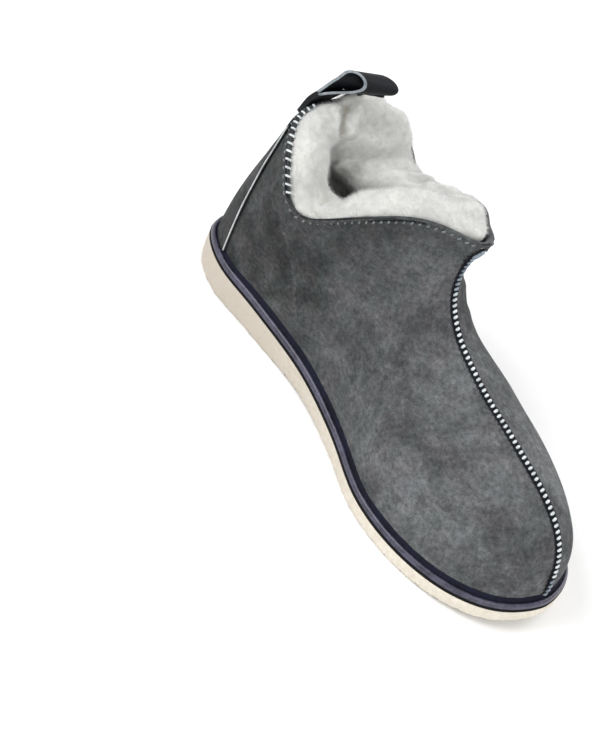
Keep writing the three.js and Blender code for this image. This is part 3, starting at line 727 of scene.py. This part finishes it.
def seam_point(angle):
    """Where a ray from the pivot meets the upper's crest."""
    aim = Vector((-math.cos(angle), 0, -math.sin(angle)))
    start = SEAM_PIVOT.copy()
    hit = None
    for _ in range(4):
        hit = skin.ray_cast(start, aim, 0.4)[0]
        if hit is None:
            return None
        start.y = seam_side(hit.x)
    return hit


def resample(line, step):
    """Even spacing along a line of points."""
    result = [line[0].copy()]
    carried = 0.0
    for a, b in zip(line, line[1:]):
        length = (b - a).length
        while carried + length >= step:
            a = a + (b - a) * ((step - carried) / length)
            length = (b - a).length
            result.append(a.copy())
            carried = 0.0
        carried += length
    return result


def smoothed(line, rounds):
    """Takes small jitter out of a line and keeps its ends."""
    for _ in range(rounds):
        inner = [(a + b * 2 + c) / 4 for a, b, c in zip(line, line[1:], line[2:])]
        line = [line[0], *inner, line[-1]]
    return line


sweep = [SWEEP_FROM + SWEEP_OVER * i / SEAM_STATIONS for i in range(SEAM_STATIONS)]
swept = [seam_point(math.radians(angle)) for angle in sweep]
seam_line = smoothed(resample([p for p in swept if p is not None], 1.0 * MM), 12)
print("seam length", len(seam_line), "mm, from", seam_line[0] / MM, "to", seam_line[-1] / MM)

# %% [markdown]
# ## Thread
# A stitch is a short bend of round yarn. All stitches of one seam are built as one mesh:
# each is a thin tube along a few points, with its ends closed. A curve object could do
# this too, but a mesh is what the export writes, and many small curves are slow.

# %% Thread helper
def tubes(name, lines, radius, sides=6):
    """Round yarn along many short lines, as one mesh."""
    vertices = []
    faces = []
    for line in lines:
        first = len(vertices)
        side = None
        for i, point in enumerate(line):
            tangent = (line[min(i + 1, len(line) - 1)] - line[max(i - 1, 0)]).normalized()
            if side is None:
                side = tangent.orthogonal().normalized()
            side = (side - tangent * side.dot(tangent)).normalized()
            other = tangent.cross(side)
            for k in range(sides):
                turn = 2 * math.pi * k / sides
                ring = side * math.cos(turn) + other * math.sin(turn)
                vertices.append(point + ring * radius)
        for i in range(len(line) - 1):
            for k in range(sides):
                a = first + i * sides + k
                b = first + i * sides + (k + 1) % sides
                faces.append((a, b, b + sides, a + sides))
        faces.append(tuple(first + k for k in reversed(range(sides))))
        last = first + (len(line) - 1) * sides
        faces.append(tuple(last + k for k in range(sides)))
    return mesh_from(name, vertices, faces)


def frames_on(line, across):
    """For each point of a line: the point, along, sideways and outward."""
    result = []
    for i, point in enumerate(line):
        along = (line[min(i + 2, len(line) - 1)] - line[max(i - 2, 0)]).normalized()
        sideways = (across - along * across.dot(along)).normalized()
        outward = sideways.cross(along).normalized()
        result.append((point, along, sideways, outward))
    return result


def swept_band(name, stations, profile, closed_ring=False):
    """Sweeps a closed profile, given as (sideways, outward) pairs, along stations."""
    vertices = []
    faces = []
    count = len(profile)
    for point, _, sideways, outward in stations:
        vertices.extend(point + sideways * s + outward * o for s, o in profile)
    total = len(stations)
    for i in range(total if closed_ring else total - 1):
        for k in range(count):
            a = i * count + k
            b = i * count + (k + 1) % count
            c = (i + 1) % total * count
            faces.append((a, b, c + (k + 1) % count, c + k))
    if not closed_ring:
        faces.append(tuple(reversed(range(count))))
        faces.append(tuple((total - 1) * count + k for k in range(count)))
    piece = mesh_from(name, vertices, faces)
    form = bmesh.new()
    form.from_mesh(piece.data)
    bmesh.ops.recalc_face_normals(form, faces=form.faces)
    form.to_mesh(piece.data)
    form.free()
    return piece


print("thread helper ready")

# %% [markdown]
# ## The raised seam
# The two halves of the upper meet edge to edge. The cut edges stand up as a narrow dark
# ridge, and short thick stitches of yarn cross it, so close that they look like beads.
# They are pale over the instep, and dull where hands and feet rub them, under the peak
# and at the toe. Beside them the needle has pulled small dimples into the suede, dark with
# shade. The ridge is a swept band, each stitch is a short arched tube over it, and the
# dimples are short dark tubes sunk into the skin, which paint the shade in the holes. Pits
# cut into the skin would need far more faces for the same look.

# %% Seam on the crest
SEAM_HALF = 2.4 * MM
SEAM_PITCH = 3.16 * MM
BAR_HALF = 0.95 * MM
BAR_SLANT = 0.5 * MM
BAR_LIFT = 0.75 * MM
BAR_RADIUS = 0.82 * MM
THROAT_END = 36 * MM
TOE_END = 14 * MM
TACK_COUNT = 5
TACK_FROM = 3 * MM
TACK_PITCH = 1.3 * MM
TACK_HALF = 2.3 * MM
HOLE_SIDE = 2.8 * MM
HOLE_HALF = 0.7 * MM
HOLE_SINK = 0.25 * MM
HOLE_RISE = 0.12 * MM
seam_stations = frames_on(seam_line, Vector((0, -1, 0)))
ridge_profile = [
    (-SEAM_HALF, -0.6 * MM),
    (-SEAM_HALF * 0.92, 0.15 * MM),
    (-SEAM_HALF * 0.45, 0.55 * MM),
    (0.0, 0.62 * MM),
    (SEAM_HALF * 0.45, 0.55 * MM),
    (SEAM_HALF * 0.92, 0.15 * MM),
    (SEAM_HALF, -0.6 * MM),
    (0.0, -0.9 * MM),
]
seam_ridge = swept_band("seam_ridge", seam_stations, ridge_profile)
dress(seam_ridge, ridge_suede)


def station_at(stations, distance):
    """What a station would be at a distance along, with one station per millimetre."""
    low = min(int(distance / MM), len(stations) - 2)
    share = distance / MM - low
    return [stations[low][k].lerp(stations[low + 1][k], share) for k in range(4)]


def arched(start, end, outward, lift):
    """One leg of yarn that lies over the ridge from side to side."""
    points = [start]
    for share in (0.2, 0.5, 0.8):
        height = lift * (0.75 if share != 0.5 else 0.95)
        points.append(start.lerp(end, share) + outward * height)
    points.append(end)
    return points


def seam_bars(stations, first, last):
    """The stitches of the seam: a thick short bar of yarn across the ridge for each."""
    bars = []
    distance = first
    while distance + SEAM_PITCH < last:
        a = station_at(stations, distance + BAR_SLANT)
        b = station_at(stations, distance)
        start = a[0] + a[2] * BAR_HALF
        end = b[0] - b[2] * BAR_HALF
        bars.append(arched(start, end, a[3], BAR_LIFT))
        distance += SEAM_PITCH
    return bars


def tack(stations):
    """The close stitches that lock the seam under the collar's peak."""
    lines = []
    for k in range(TACK_COUNT):
        a = station_at(stations, TACK_FROM + TACK_PITCH * k)
        half = TACK_HALF * (1 - 0.12 * abs(k - TACK_COUNT / 2))
        lines.append(arched(a[0] + a[2] * half, a[0] - a[2] * half, a[3], BAR_LIFT * 1.3))
    return lines


seam_length = (len(seam_line) - 1) * MM
bars = seam_bars(seam_stations, THROAT_END, seam_length - TOE_END)
dress(tubes("seam_bars", bars, BAR_RADIUS, 8), pale_thread)
dull_bars = seam_bars(seam_stations, 1.2 * MM, THROAT_END)
dull_bars += seam_bars(seam_stations, seam_length - TOE_END, seam_length)
dull_bars += tack(seam_stations)
dress(tubes("seam_dull_bars", dull_bars, BAR_RADIUS, 8), dull_thread)
print("stitches on the crest:", len(bars) + len(dull_bars))


def dimples(stations, side, pitch, length):
    """Short dark tubes beside the ridge, half sunk in the suede, that paint the shade in the
    needle holes.
    """
    lines = []
    distance = 2 * MM
    while distance < length - 2 * MM:
        s = station_at(stations, distance)
        spot = s[0] + s[2] * side
        seat, normal, _, _ = skin.find_nearest(spot)
        lines.append([
            seat - s[1] * HOLE_HALF - normal * HOLE_SINK,
            seat + normal * HOLE_RISE,
            seat + s[1] * HOLE_HALF - normal * HOLE_SINK,
        ])
        distance += pitch
    return lines


holes = dimples(seam_stations, HOLE_SIDE, SEAM_PITCH, seam_length)
holes += dimples(seam_stations, -HOLE_SIDE, SEAM_PITCH, seam_length)
dress(tubes("seam_holes", holes, 0.5 * MM), needle_hole_shade)

# %% [markdown]
# ## The collar's edge
# The sheepskin's cut edge is oversewn: a dark narrow roll runs round the whole collar,
# and a thread crosses it every few millimetres. The roll is a swept band seated on the
# measured edge, turned so that it wraps the rim from outside to inside. Each stitch is in
# two parts. Its outer end shows all round as a dim dot under the roll. Its pale inner
# part shows only at the near back, because elsewhere the wool laps over it.

# %% Collar roll and oversewing
ring = [(side + top) / 2 for top, side in collar_edge]
ring = ring + [ring[0]]
ring = resample(ring, 1.0 * MM)


def collar_frames(line):
    """Stations round the collar: sideways is outward from the wool, outward is up."""
    total = len(line)
    result = []
    for i, point in enumerate(line):
        along = (line[(i + 2) % total] - line[i - 2]).normalized()
        outside = (point - COLLAR_CENTRE)
        outside.z = 0
        outside.normalize()
        rising = outside.cross(along)
        if rising.z < 0:
            rising = -rising
        rising.normalize()
        level = along.cross(rising).normalized()
        if level.dot(outside) < 0:
            level = -level
        result.append((point, along, level, rising))
    return result


collar_stations = collar_frames(ring)
roll_profile = [
    (0.35 * MM, -1.2 * MM),
    (0.5 * MM, -0.5 * MM),
    (0.35 * MM, 0.1 * MM),
    (-0.3 * MM, 0.35 * MM),
    (-1.0 * MM, 0.2 * MM),
    (-1.4 * MM, -0.4 * MM),
    (-1.4 * MM, -1.2 * MM),
    (-0.6 * MM, -1.5 * MM),
]
collar_roll = swept_band("collar_roll", collar_stations, roll_profile, closed_ring=True)
dress(collar_roll, collar_suede)

OVERSEW_PITCH = 4.3
OVERSEW_SLANT = 0.3
INNER_BAR = [(0.1, 0.1), (-0.3, 0.75), (-1.0, 1.1), (-1.8, 1.3), (-2.5, 0.9)]
OUTER_BAR = [(0.2, -2.1), (0.75, -1.8), (0.85, -1.3), (0.45, -0.8)]
SHORT_WOOL_X = 19 * MM
SHORT_WOOL_Y = -3 * MM


def bare_inside(place):
    """Whether a stitch shows on the inside, at the near back where no wool laps over it."""
    return place.x < SHORT_WOOL_X and place.y < SHORT_WOOL_Y


def oversewing(stations, bar, shows=None):
    """One part of each stitch over the rim, given as (sideways, up) steps in millimetres."""
    lines = []
    count = int(len(stations) / OVERSEW_PITCH)
    for k in range(count):
        start = k * len(stations) / count
        if shows and not shows(stations[int(start)][0]):
            continue
        path = []
        for i, (out, rise) in enumerate(bar):
            spot = start + OVERSEW_PITCH * OVERSEW_SLANT * i / (len(bar) - 1)
            low = int(spot) % len(stations)
            high = (low + 1) % len(stations)
            mixed = [stations[low][n].lerp(stations[high][n], spot % 1) for n in (0, 2, 3)]
            path.append(mixed[0] + mixed[1] * out * MM + mixed[2] * rise * MM)
        lines.append(path)
    return lines


inner = tubes("collar_stitches", oversewing(collar_stations, INNER_BAR, bare_inside), 0.6 * MM)
dress(inner, pale_thread)
outer = tubes("collar_dots", oversewing(collar_stations, OUTER_BAR), 0.55 * MM)
dress(outer, dim_thread)

# %% [markdown]
# ## The wool
# The lining is shorn sheepskin, some twenty millimetres deep, that swells over the
# collar. Its solid has the mass and the locks, with flat faces. A voxel remesh turns it
# into an even skin. Swelling it, remeshing it and shrinking it again closes the gaps
# between the locks, as a brushed pile does. Smoothing softens it, and noise moves the
# surface in and out at the scale of curls. Then the pile is combed with soft pushes
# given one by one, it leans out over the rim, and one crease is pressed in above the
# slit. A hair system alone would keep the solid's stepped locks visible under it.

# %% Wool body
WOOL_VOXEL = 1.7 * MM
WOOL_ROUNDS = 36
WOOL_CLOSING = 3.0 * MM
INSOLE_VOXEL = 2.2 * MM
INSOLE_CURLS = [(120, 0.5)]
# each size of curl: how close the noise is, and how far it moves the wool in millimetres
CURLS = [(70, 0.8), (160, 0.5), (380, 0.3)]
# how the pile is combed: a centre, a reach and a shift in millimetres
COMBED = [
    # the far wall swells until it nearly meets the near one, which leaves a narrow slit
    ((28, 25, 107), 26, (-1, -12, 4)),
    ((18, 18, 98), 19, (-1, -10, 3)),
    ((46, 24, 112), 20, (0, -8, 2)),
    ((15, 8, 104), 19, (0, -9, 2)),
    ((22, 7, 98), 16, (0, -8, 2)),
    ((13, 11, 119), 13, (0, -5, 2)),
    ((11, 3, 108), 15, (0, -6, 1)),
    # the near side lies lower over the notch
    ((37, -24, 114), 21, (0, 2, -12)),
    # the locks on the far front lie down
    ((48, 29, 129), 16, (0, 2, -9)),
    ((52, 32, 122), 17, (0, 0, -4)),
    ((67, 25, 140), 16, (0, 1, -9)),
    ((84, 14, 148), 11, (0, 0, -3)),
    # and at the far back they stand over the rim
    ((0, 22, 134), 17, (-1, 2, 8)),
    ((-6, 9, 138), 12, (-1, 0, 4)),
    ((14, 33, 133), 12, (0, 2, 5)),
    ((3, 25, 140), 9, (0, 0, 2.5)),
    ((9, 31, 138), 12, (0, -2.5, -1)),
]
# how far the wool leans over the rim: everywhere, and more along the low inner part
SPILL = 1.4
SPILL_LOW = 1.1
SPILL_REACH = 7.0
SPILL_OVER = 80
SPILL_BELOW_RIM = 1.5
LOW_RIM = (12, 102)
LOW_RIM_FADES = (14, 12)


def spill_over(piece, line):
    """Lets the wool lean out over the rim, most on the low inner part of the collar."""
    for vertex in piece.data.vertices:
        place = vertex.co / MM
        if place.z < SPILL_OVER:
            continue
        nearest = min(line, key=lambda p: (p - vertex.co).length_squared)
        if vertex.co.z < nearest.z - SPILL_BELOW_RIM * MM:
            continue
        fade_in = ease((place.x - LOW_RIM[0]) / LOW_RIM_FADES[0])
        low = fade_in * ease((LOW_RIM[1] - place.x) / LOW_RIM_FADES[1]) * (place.y < 0)
        share = 1 - (vertex.co - nearest).length / (SPILL_REACH * MM)
        outward = nearest - COLLAR_CENTRE
        outward.z = 0
        lean = (SPILL + SPILL_LOW * low) * MM * ease(share)
        vertex.co = vertex.co + outward.normalized() * lean


WOOL_CREASES = [
    ([(-3, 5, 138.5), (1.5, 3, 135.5), (4.5, 1, 132), (7, -1, 128), (9, -2, 123)], 5.0, 3.6),
]


def even_skin(piece, voxel, rounds):
    """Rebuilds a surface with even small faces and smooths it."""
    remesh = piece.modifiers.new("even", "REMESH")
    remesh.mode = "VOXEL"
    remesh.voxel_size = voxel
    soften = piece.modifiers.new("soften", "SMOOTH")
    soften.factor = 0.6
    soften.iterations = rounds
    settle(piece)


def swell(piece, reach):
    """Moves the whole surface out along its normals, or in for a negative reach."""
    normals = [n.vector.copy() for n in piece.data.vertex_normals]
    for vertex, normal in zip(piece.data.vertices, normals):
        vertex.co = vertex.co + normal * reach


def woolly(node, name, voxel, rounds, fluff, curls):
    """A solid turned into a soft pile that has closed over its own folds."""
    piece = copy_solid(node, name)
    if fluff:
        even_skin(piece, voxel, 3)
        swell(piece, fluff)
        even_skin(piece, voxel, 3)
        swell(piece, -fluff)
    even_skin(piece, voxel, rounds)
    normals = [n.vector.copy() for n in piece.data.vertex_normals]
    for vertex, normal in zip(piece.data.vertices, normals):
        shift = sum(depth * noise.noise(vertex.co * scale) for scale, depth in curls)
        vertex.co = vertex.co + normal * shift * MM
    return piece


fleece = woolly("fleece_lining", "fleece", WOOL_VOXEL, WOOL_ROUNDS, WOOL_CLOSING, CURLS)
nudge(fleece, [PEAK_FLARE, *FAR_FLARE, *COMBED])
spill_over(fleece, ring)
press_creases(fleece, WOOL_CREASES)
smooth_faces(fleece)
dress(fleece, wool, ["fleece_lining"])
insole = smooth_faces(woolly("insole", "wool_insole", INSOLE_VOXEL, 2, 0, INSOLE_CURLS))
dress(insole, wool, ["insole"])

# %% [markdown]
# ## Fibres
# The tips of the wool stand off its skin and make its outline soft. Each is a thin pointed
# spike of three faces, about two and a half millimetres long, that leans with its
# neighbours. The places are drawn with a fixed seed, so each run gives the same pile.
# Where leather lies close in front of the wool, none are grown, or they would prick it.

# %% Fibres
FIBRES_PER_MM2 = 1.6
FIBRE_LENGTH = 2.6
FIBRE_WIDTH = 0.22
LOWEST_FIBRE = 62 * MM
COVERED_BY = 5 * MM


def fibres(piece, name, seed):
    """Thin pointed fibres that stand on the wool and lean with their neighbours."""
    chance = random.Random(seed)
    vertices = []
    faces = []
    for polygon in piece.data.polygons:
        if polygon.center.z < LOWEST_FIBRE:
            continue
        wanted = polygon.area / MM / MM * FIBRES_PER_MM2
        count = int(wanted) + (chance.random() < wanted - int(wanted))
        corners = [piece.data.vertices[v].co for v in polygon.vertices]
        covered = skin.ray_cast(polygon.center, polygon.normal, COVERED_BY)[0] is not None
        for _ in range(count):
            a = corners[0].lerp(corners[1], chance.random())
            b = corners[-1].lerp(corners[-2], chance.random())
            foot = a.lerp(b, chance.random()) - polygon.normal * 0.4 * MM
            if covered:
                continue
            flow = noise.noise_vector(foot * 90)
            loose = Vector((chance.gauss(0, 1), chance.gauss(0, 1), chance.gauss(0, 1)))
            lean = polygon.normal + flow * 0.9 + loose * 0.22
            lean.normalize()
            length = FIBRE_LENGTH * MM * (0.55 + 0.6 * chance.random())
            bend = (polygon.normal + lean).normalized()
            side = bend.orthogonal().normalized()
            other = bend.cross(side)
            first = len(vertices)
            for k in range(3):
                turn = 2 * math.pi * k / 3
                ring_place = side * math.cos(turn) + other * math.sin(turn)
                vertices.append(foot + ring_place * FIBRE_WIDTH * 0.5 * MM)
            vertices.append(foot + bend * length * 0.5 + lean * length * 0.5)
            faces.extend([(first, first + 1, first + 3), (first + 1, first + 2, first + 3)])
            faces.append((first + 2, first, first + 3))
    return mesh_from(name, vertices, faces)


pile = fibres(fleece, "wool_pile", 7)
dress(pile, wool)

# %% [markdown]
# ## The back strip
# A separate piece of the same suede covers the back seam, about fifty millimetres wide at
# the sole. Its front edges are cut raw, and show as a thin pale line. The solid gives the
# outline. The raw edge is a thin tube of pale leather along the copy's front edge, which
# is measured level by level with rays. A pale face there would be too thin to see.

# %% Back strip
strip = rounded(copy_solid("back_strip", "back_strip_suede", 35), 1)
smooth_faces(strip)
dress(strip, suede, ["back_strip"])
strip_tree = tree_of(strip)
RAW_LINE = 0.42 * MM
STRIP_LEVELS = 90
STRIP_FOREMOST = 30
STRIP_STEP = 0.1
STRIP_SIDE = 60 * MM


def strip_front(side, level):
    """The front edge of the strip at one height, on one side of the heel."""
    start = Vector((0, side * STRIP_SIDE, level))
    for step in range(600):
        start.x = (STRIP_FOREMOST - step * STRIP_STEP) * MM
        hit = strip_tree.ray_cast(start, Vector((0, -side, 0)), STRIP_SIDE)[0]
        if hit is not None:
            return hit
    return None


def strip_edge_line(side):
    """The whole front edge from the welt to the collar."""
    low = min(v.co.z for v in strip.data.vertices) + 1.5 * MM
    high = max(v.co.z for v in strip.data.vertices)
    levels = [low + (high - low) * i / STRIP_LEVELS for i in range(STRIP_LEVELS + 1)]
    found = [strip_front(side, level) for level in levels]
    return smoothed([p for p in found if p is not None], 4)


raw_lines = [strip_edge_line(side) for side in (-1, 1)]
dress(tubes("strip_raw_edges", raw_lines, RAW_LINE, 8), strip_edge)
print("strip edges", [len(line) for line in raw_lines])

# %% [markdown]
# ## Welt and sole
# The welt is a round leather cord between upper and sole, and the sole is cut foam with a
# crisp edge. Both are rounded copies of their solids. Between the cord and the suede a band
# of navy leather, darker than the cord, paints the shade in the groove there, and a black
# line paints the shade in the crease between the cord and the foam. Both are thin bands
# swept round the shoe along lines measured with level rays. Shadow alone would not be as
# dark as they are under such soft light, so their shade is painted.

# %% Welt and sole
welt = smooth_faces(rounded(copy_solid("welt", "welt_cord"), 2))
dress(welt, welt_leather, ["welt"])
welt_tree = tree_of(welt)
SOLE_CENTRE = Vector((104, 0, 0)) * MM
SIDE_REACH = 0.25
RING_STATIONS = 360
RING_STEP = 1.5 * MM
WELT_TOP = 36
WELT_UNDER = 6
LEVEL_STEP = 0.4
OVER_WELT = 0.4 * MM
CREASE_SHADE_RISE = 1.1 * MM


def from_side(tree, out, level):
    """Where a level ray that comes in from the side meets a piece."""
    return tree.ray_cast(SOLE_CENTRE + out * SIDE_REACH + UP * level, -out, SIDE_REACH)[0]


def gutter_point(angle):
    """The foot of the upper, just over the welt, in one direction."""
    out = heading(angle)
    for step in range(90):
        level = (WELT_TOP - step * LEVEL_STEP) * MM
        if from_side(welt_tree, out, level) is not None:
            return from_side(skin, out, level + OVER_WELT)
    return None


def ring_frames(line):
    """Stations round the foot: sideways is out of the shoe, outward is up."""
    total = len(line)
    result = []
    for i, point in enumerate(line):
        along = (line[(i + 2) % total] - line[i - 2]).normalized()
        outside = along.cross(UP).normalized()
        if outside.dot(point - SOLE_CENTRE) < 0:
            outside = -outside
        result.append((point, along, outside, UP))
    return result


def trim_ring(name, point_at, profile, material):
    """A thin band swept right round the shoe along a measured line."""
    line = [point_at(2 * math.pi * i / RING_STATIONS) for i in range(RING_STATIONS)]
    line = resample([p for p in line + [line[0]] if p is not None], RING_STEP)[:-1]
    band = swept_band(name, ring_frames(line), profile, closed_ring=True)
    dress(band, material)


gutter_profile = [
    (1.9 * MM, -2.2 * MM),
    (1.5 * MM, -0.3 * MM),
    (0.75 * MM, 1.0 * MM),
    (0.25 * MM, 1.9 * MM),
    (-0.5 * MM, 2.1 * MM),
    (-0.9 * MM, 0.5 * MM),
    (-0.6 * MM, -2.4 * MM),
]
# a dark band that paints the shade in the groove between welt and suede
trim_ring("welt_gutter", gutter_point, gutter_profile, gutter_shade_leather)


def edge_point(angle):
    """A point on the welt just over its crease with the sole, in one direction."""
    out = heading(angle)
    high = WELT_UNDER * MM
    for step in range(60):
        high = WELT_UNDER * MM + step * LEVEL_STEP * MM
        if from_side(welt_tree, out, high) is not None:
            break
    low = high - LEVEL_STEP * MM
    for _ in range(8):
        level = (low + high) / 2
        if from_side(welt_tree, out, level) is None:
            low = level
        else:
            high = level
    return from_side(welt_tree, out, high + CREASE_SHADE_RISE)


# the band of painted shade in the crease where the welt meets the sole
crease_shade_profile = [
    (0.05 * MM, 0.35 * MM),
    (0.35 * MM, 0.1 * MM),
    (0.45 * MM, -0.6 * MM),
    (0.4 * MM, -1.4 * MM),
    (-0.6 * MM, -1.5 * MM),
    (-0.8 * MM, 0.2 * MM),
]
trim_ring("edge_line", edge_point, crease_shade_profile, welt_crease_shade)
sole = smooth_faces(rounded(copy_solid("outsole", "foam_sole", 32), 2))
dress(sole, crepe, ["outsole"])

# %% [markdown]
# ## The pull loop
# The loop is a strap folded on itself, black on its faces and pale where it was cut. It is
# a rounded copy of its solid. Its faces that look sideways are the cut edges, so they take
# the raw leather material. On the real shoe the two legs press together on the far side,
# so the rear leg of the copy is moved forward there and the eye narrows.

# %% Pull loop
CUT_FACE = 0.75
NECK_HEIGHT = 141 * MM
TIP_HEIGHT = 159 * MM
LOOP_BAND = 2.5 * MM
EYE_LEFT = 5.0 * MM
NECK_FADE = 4 * MM
TIP_FADE = 8 * MM
RAW_BELOW_NECK = 3 * MM


def pinch_eye(piece):
    """Folds the strap's rear leg forward on its far edge, so the eye narrows to that side."""
    near = min(v.co.y for v in piece.data.vertices)
    far = max(v.co.y for v in piece.data.vertices)
    points = [v.co.copy() for v in piece.data.vertices]
    for vertex in piece.data.vertices:
        spot = vertex.co
        level = [p for p in points if abs(p.z - spot.z) < LOOP_BAND]
        near_by = [p.x for p in level if abs(p.y - spot.y) < 2 * LOOP_BAND]
        front = max(near_by)
        rear = min(near_by)
        room = max(0.0, front - rear - EYE_LEFT)
        if spot.x < (front + rear) / 2 and spot.z > NECK_HEIGHT:
            across = ease((spot.y - near) / (far - near))
            over_neck = ease((spot.z - NECK_HEIGHT) / NECK_FADE)
            rising = over_neck * ease((TIP_HEIGHT - spot.z) / TIP_FADE)
            vertex.co.x = spot.x + room * across * rising


loop = smooth_faces(rounded(copy_solid("pull_loop", "loop_strap", 45), 2))
loop.data.materials.append(loop_leather)
loop.data.materials.append(raw_edge)
for face in loop.data.polygons:
    is_cut = abs(face.normal.y) > CUT_FACE and face.center.z > NECK_HEIGHT - RAW_BELOW_NECK
    face.material_index = 1 if is_cut else 0
pinch_eye(loop)
dress(loop, loop_leather, ["pull_loop"])

# %% [markdown]
# ## The tab on the wool
# Under the loop a short dark end of leather lies on the wool, where the strap is sewn
# through. It is a narrow band along a line dropped on the wool with rays, with a round
# of subdivision on it. It is too small and too soft to be a solid of its own.

# %% Inner tab
fleece_tree = tree_of(fleece)
TAB_X = (-9, -1.2)
TAB_Y = 12.5
TAB_STATIONS = 12
TAB_DROP = 175


def tab_point(x):
    """The wool's top under the tab."""
    start = Vector((x, TAB_Y, TAB_DROP)) * MM
    return fleece_tree.ray_cast(start, -UP, 0.1)[0]


tab_xs = [TAB_X[0] + (TAB_X[1] - TAB_X[0]) * i / TAB_STATIONS for i in range(TAB_STATIONS + 1)]
tab_line = smoothed([p for p in map(tab_point, tab_xs) if p is not None], 3)
tab_profile = [
    (-2.6 * MM, 0.4 * MM),
    (-2.4 * MM, 1.9 * MM),
    (2.4 * MM, 1.9 * MM),
    (2.6 * MM, 0.4 * MM),
]
tab = swept_band("inner_tab", frames_on(tab_line, Vector((0, -1, 0))), tab_profile)
dress(rounded(tab, 2), loop_leather)
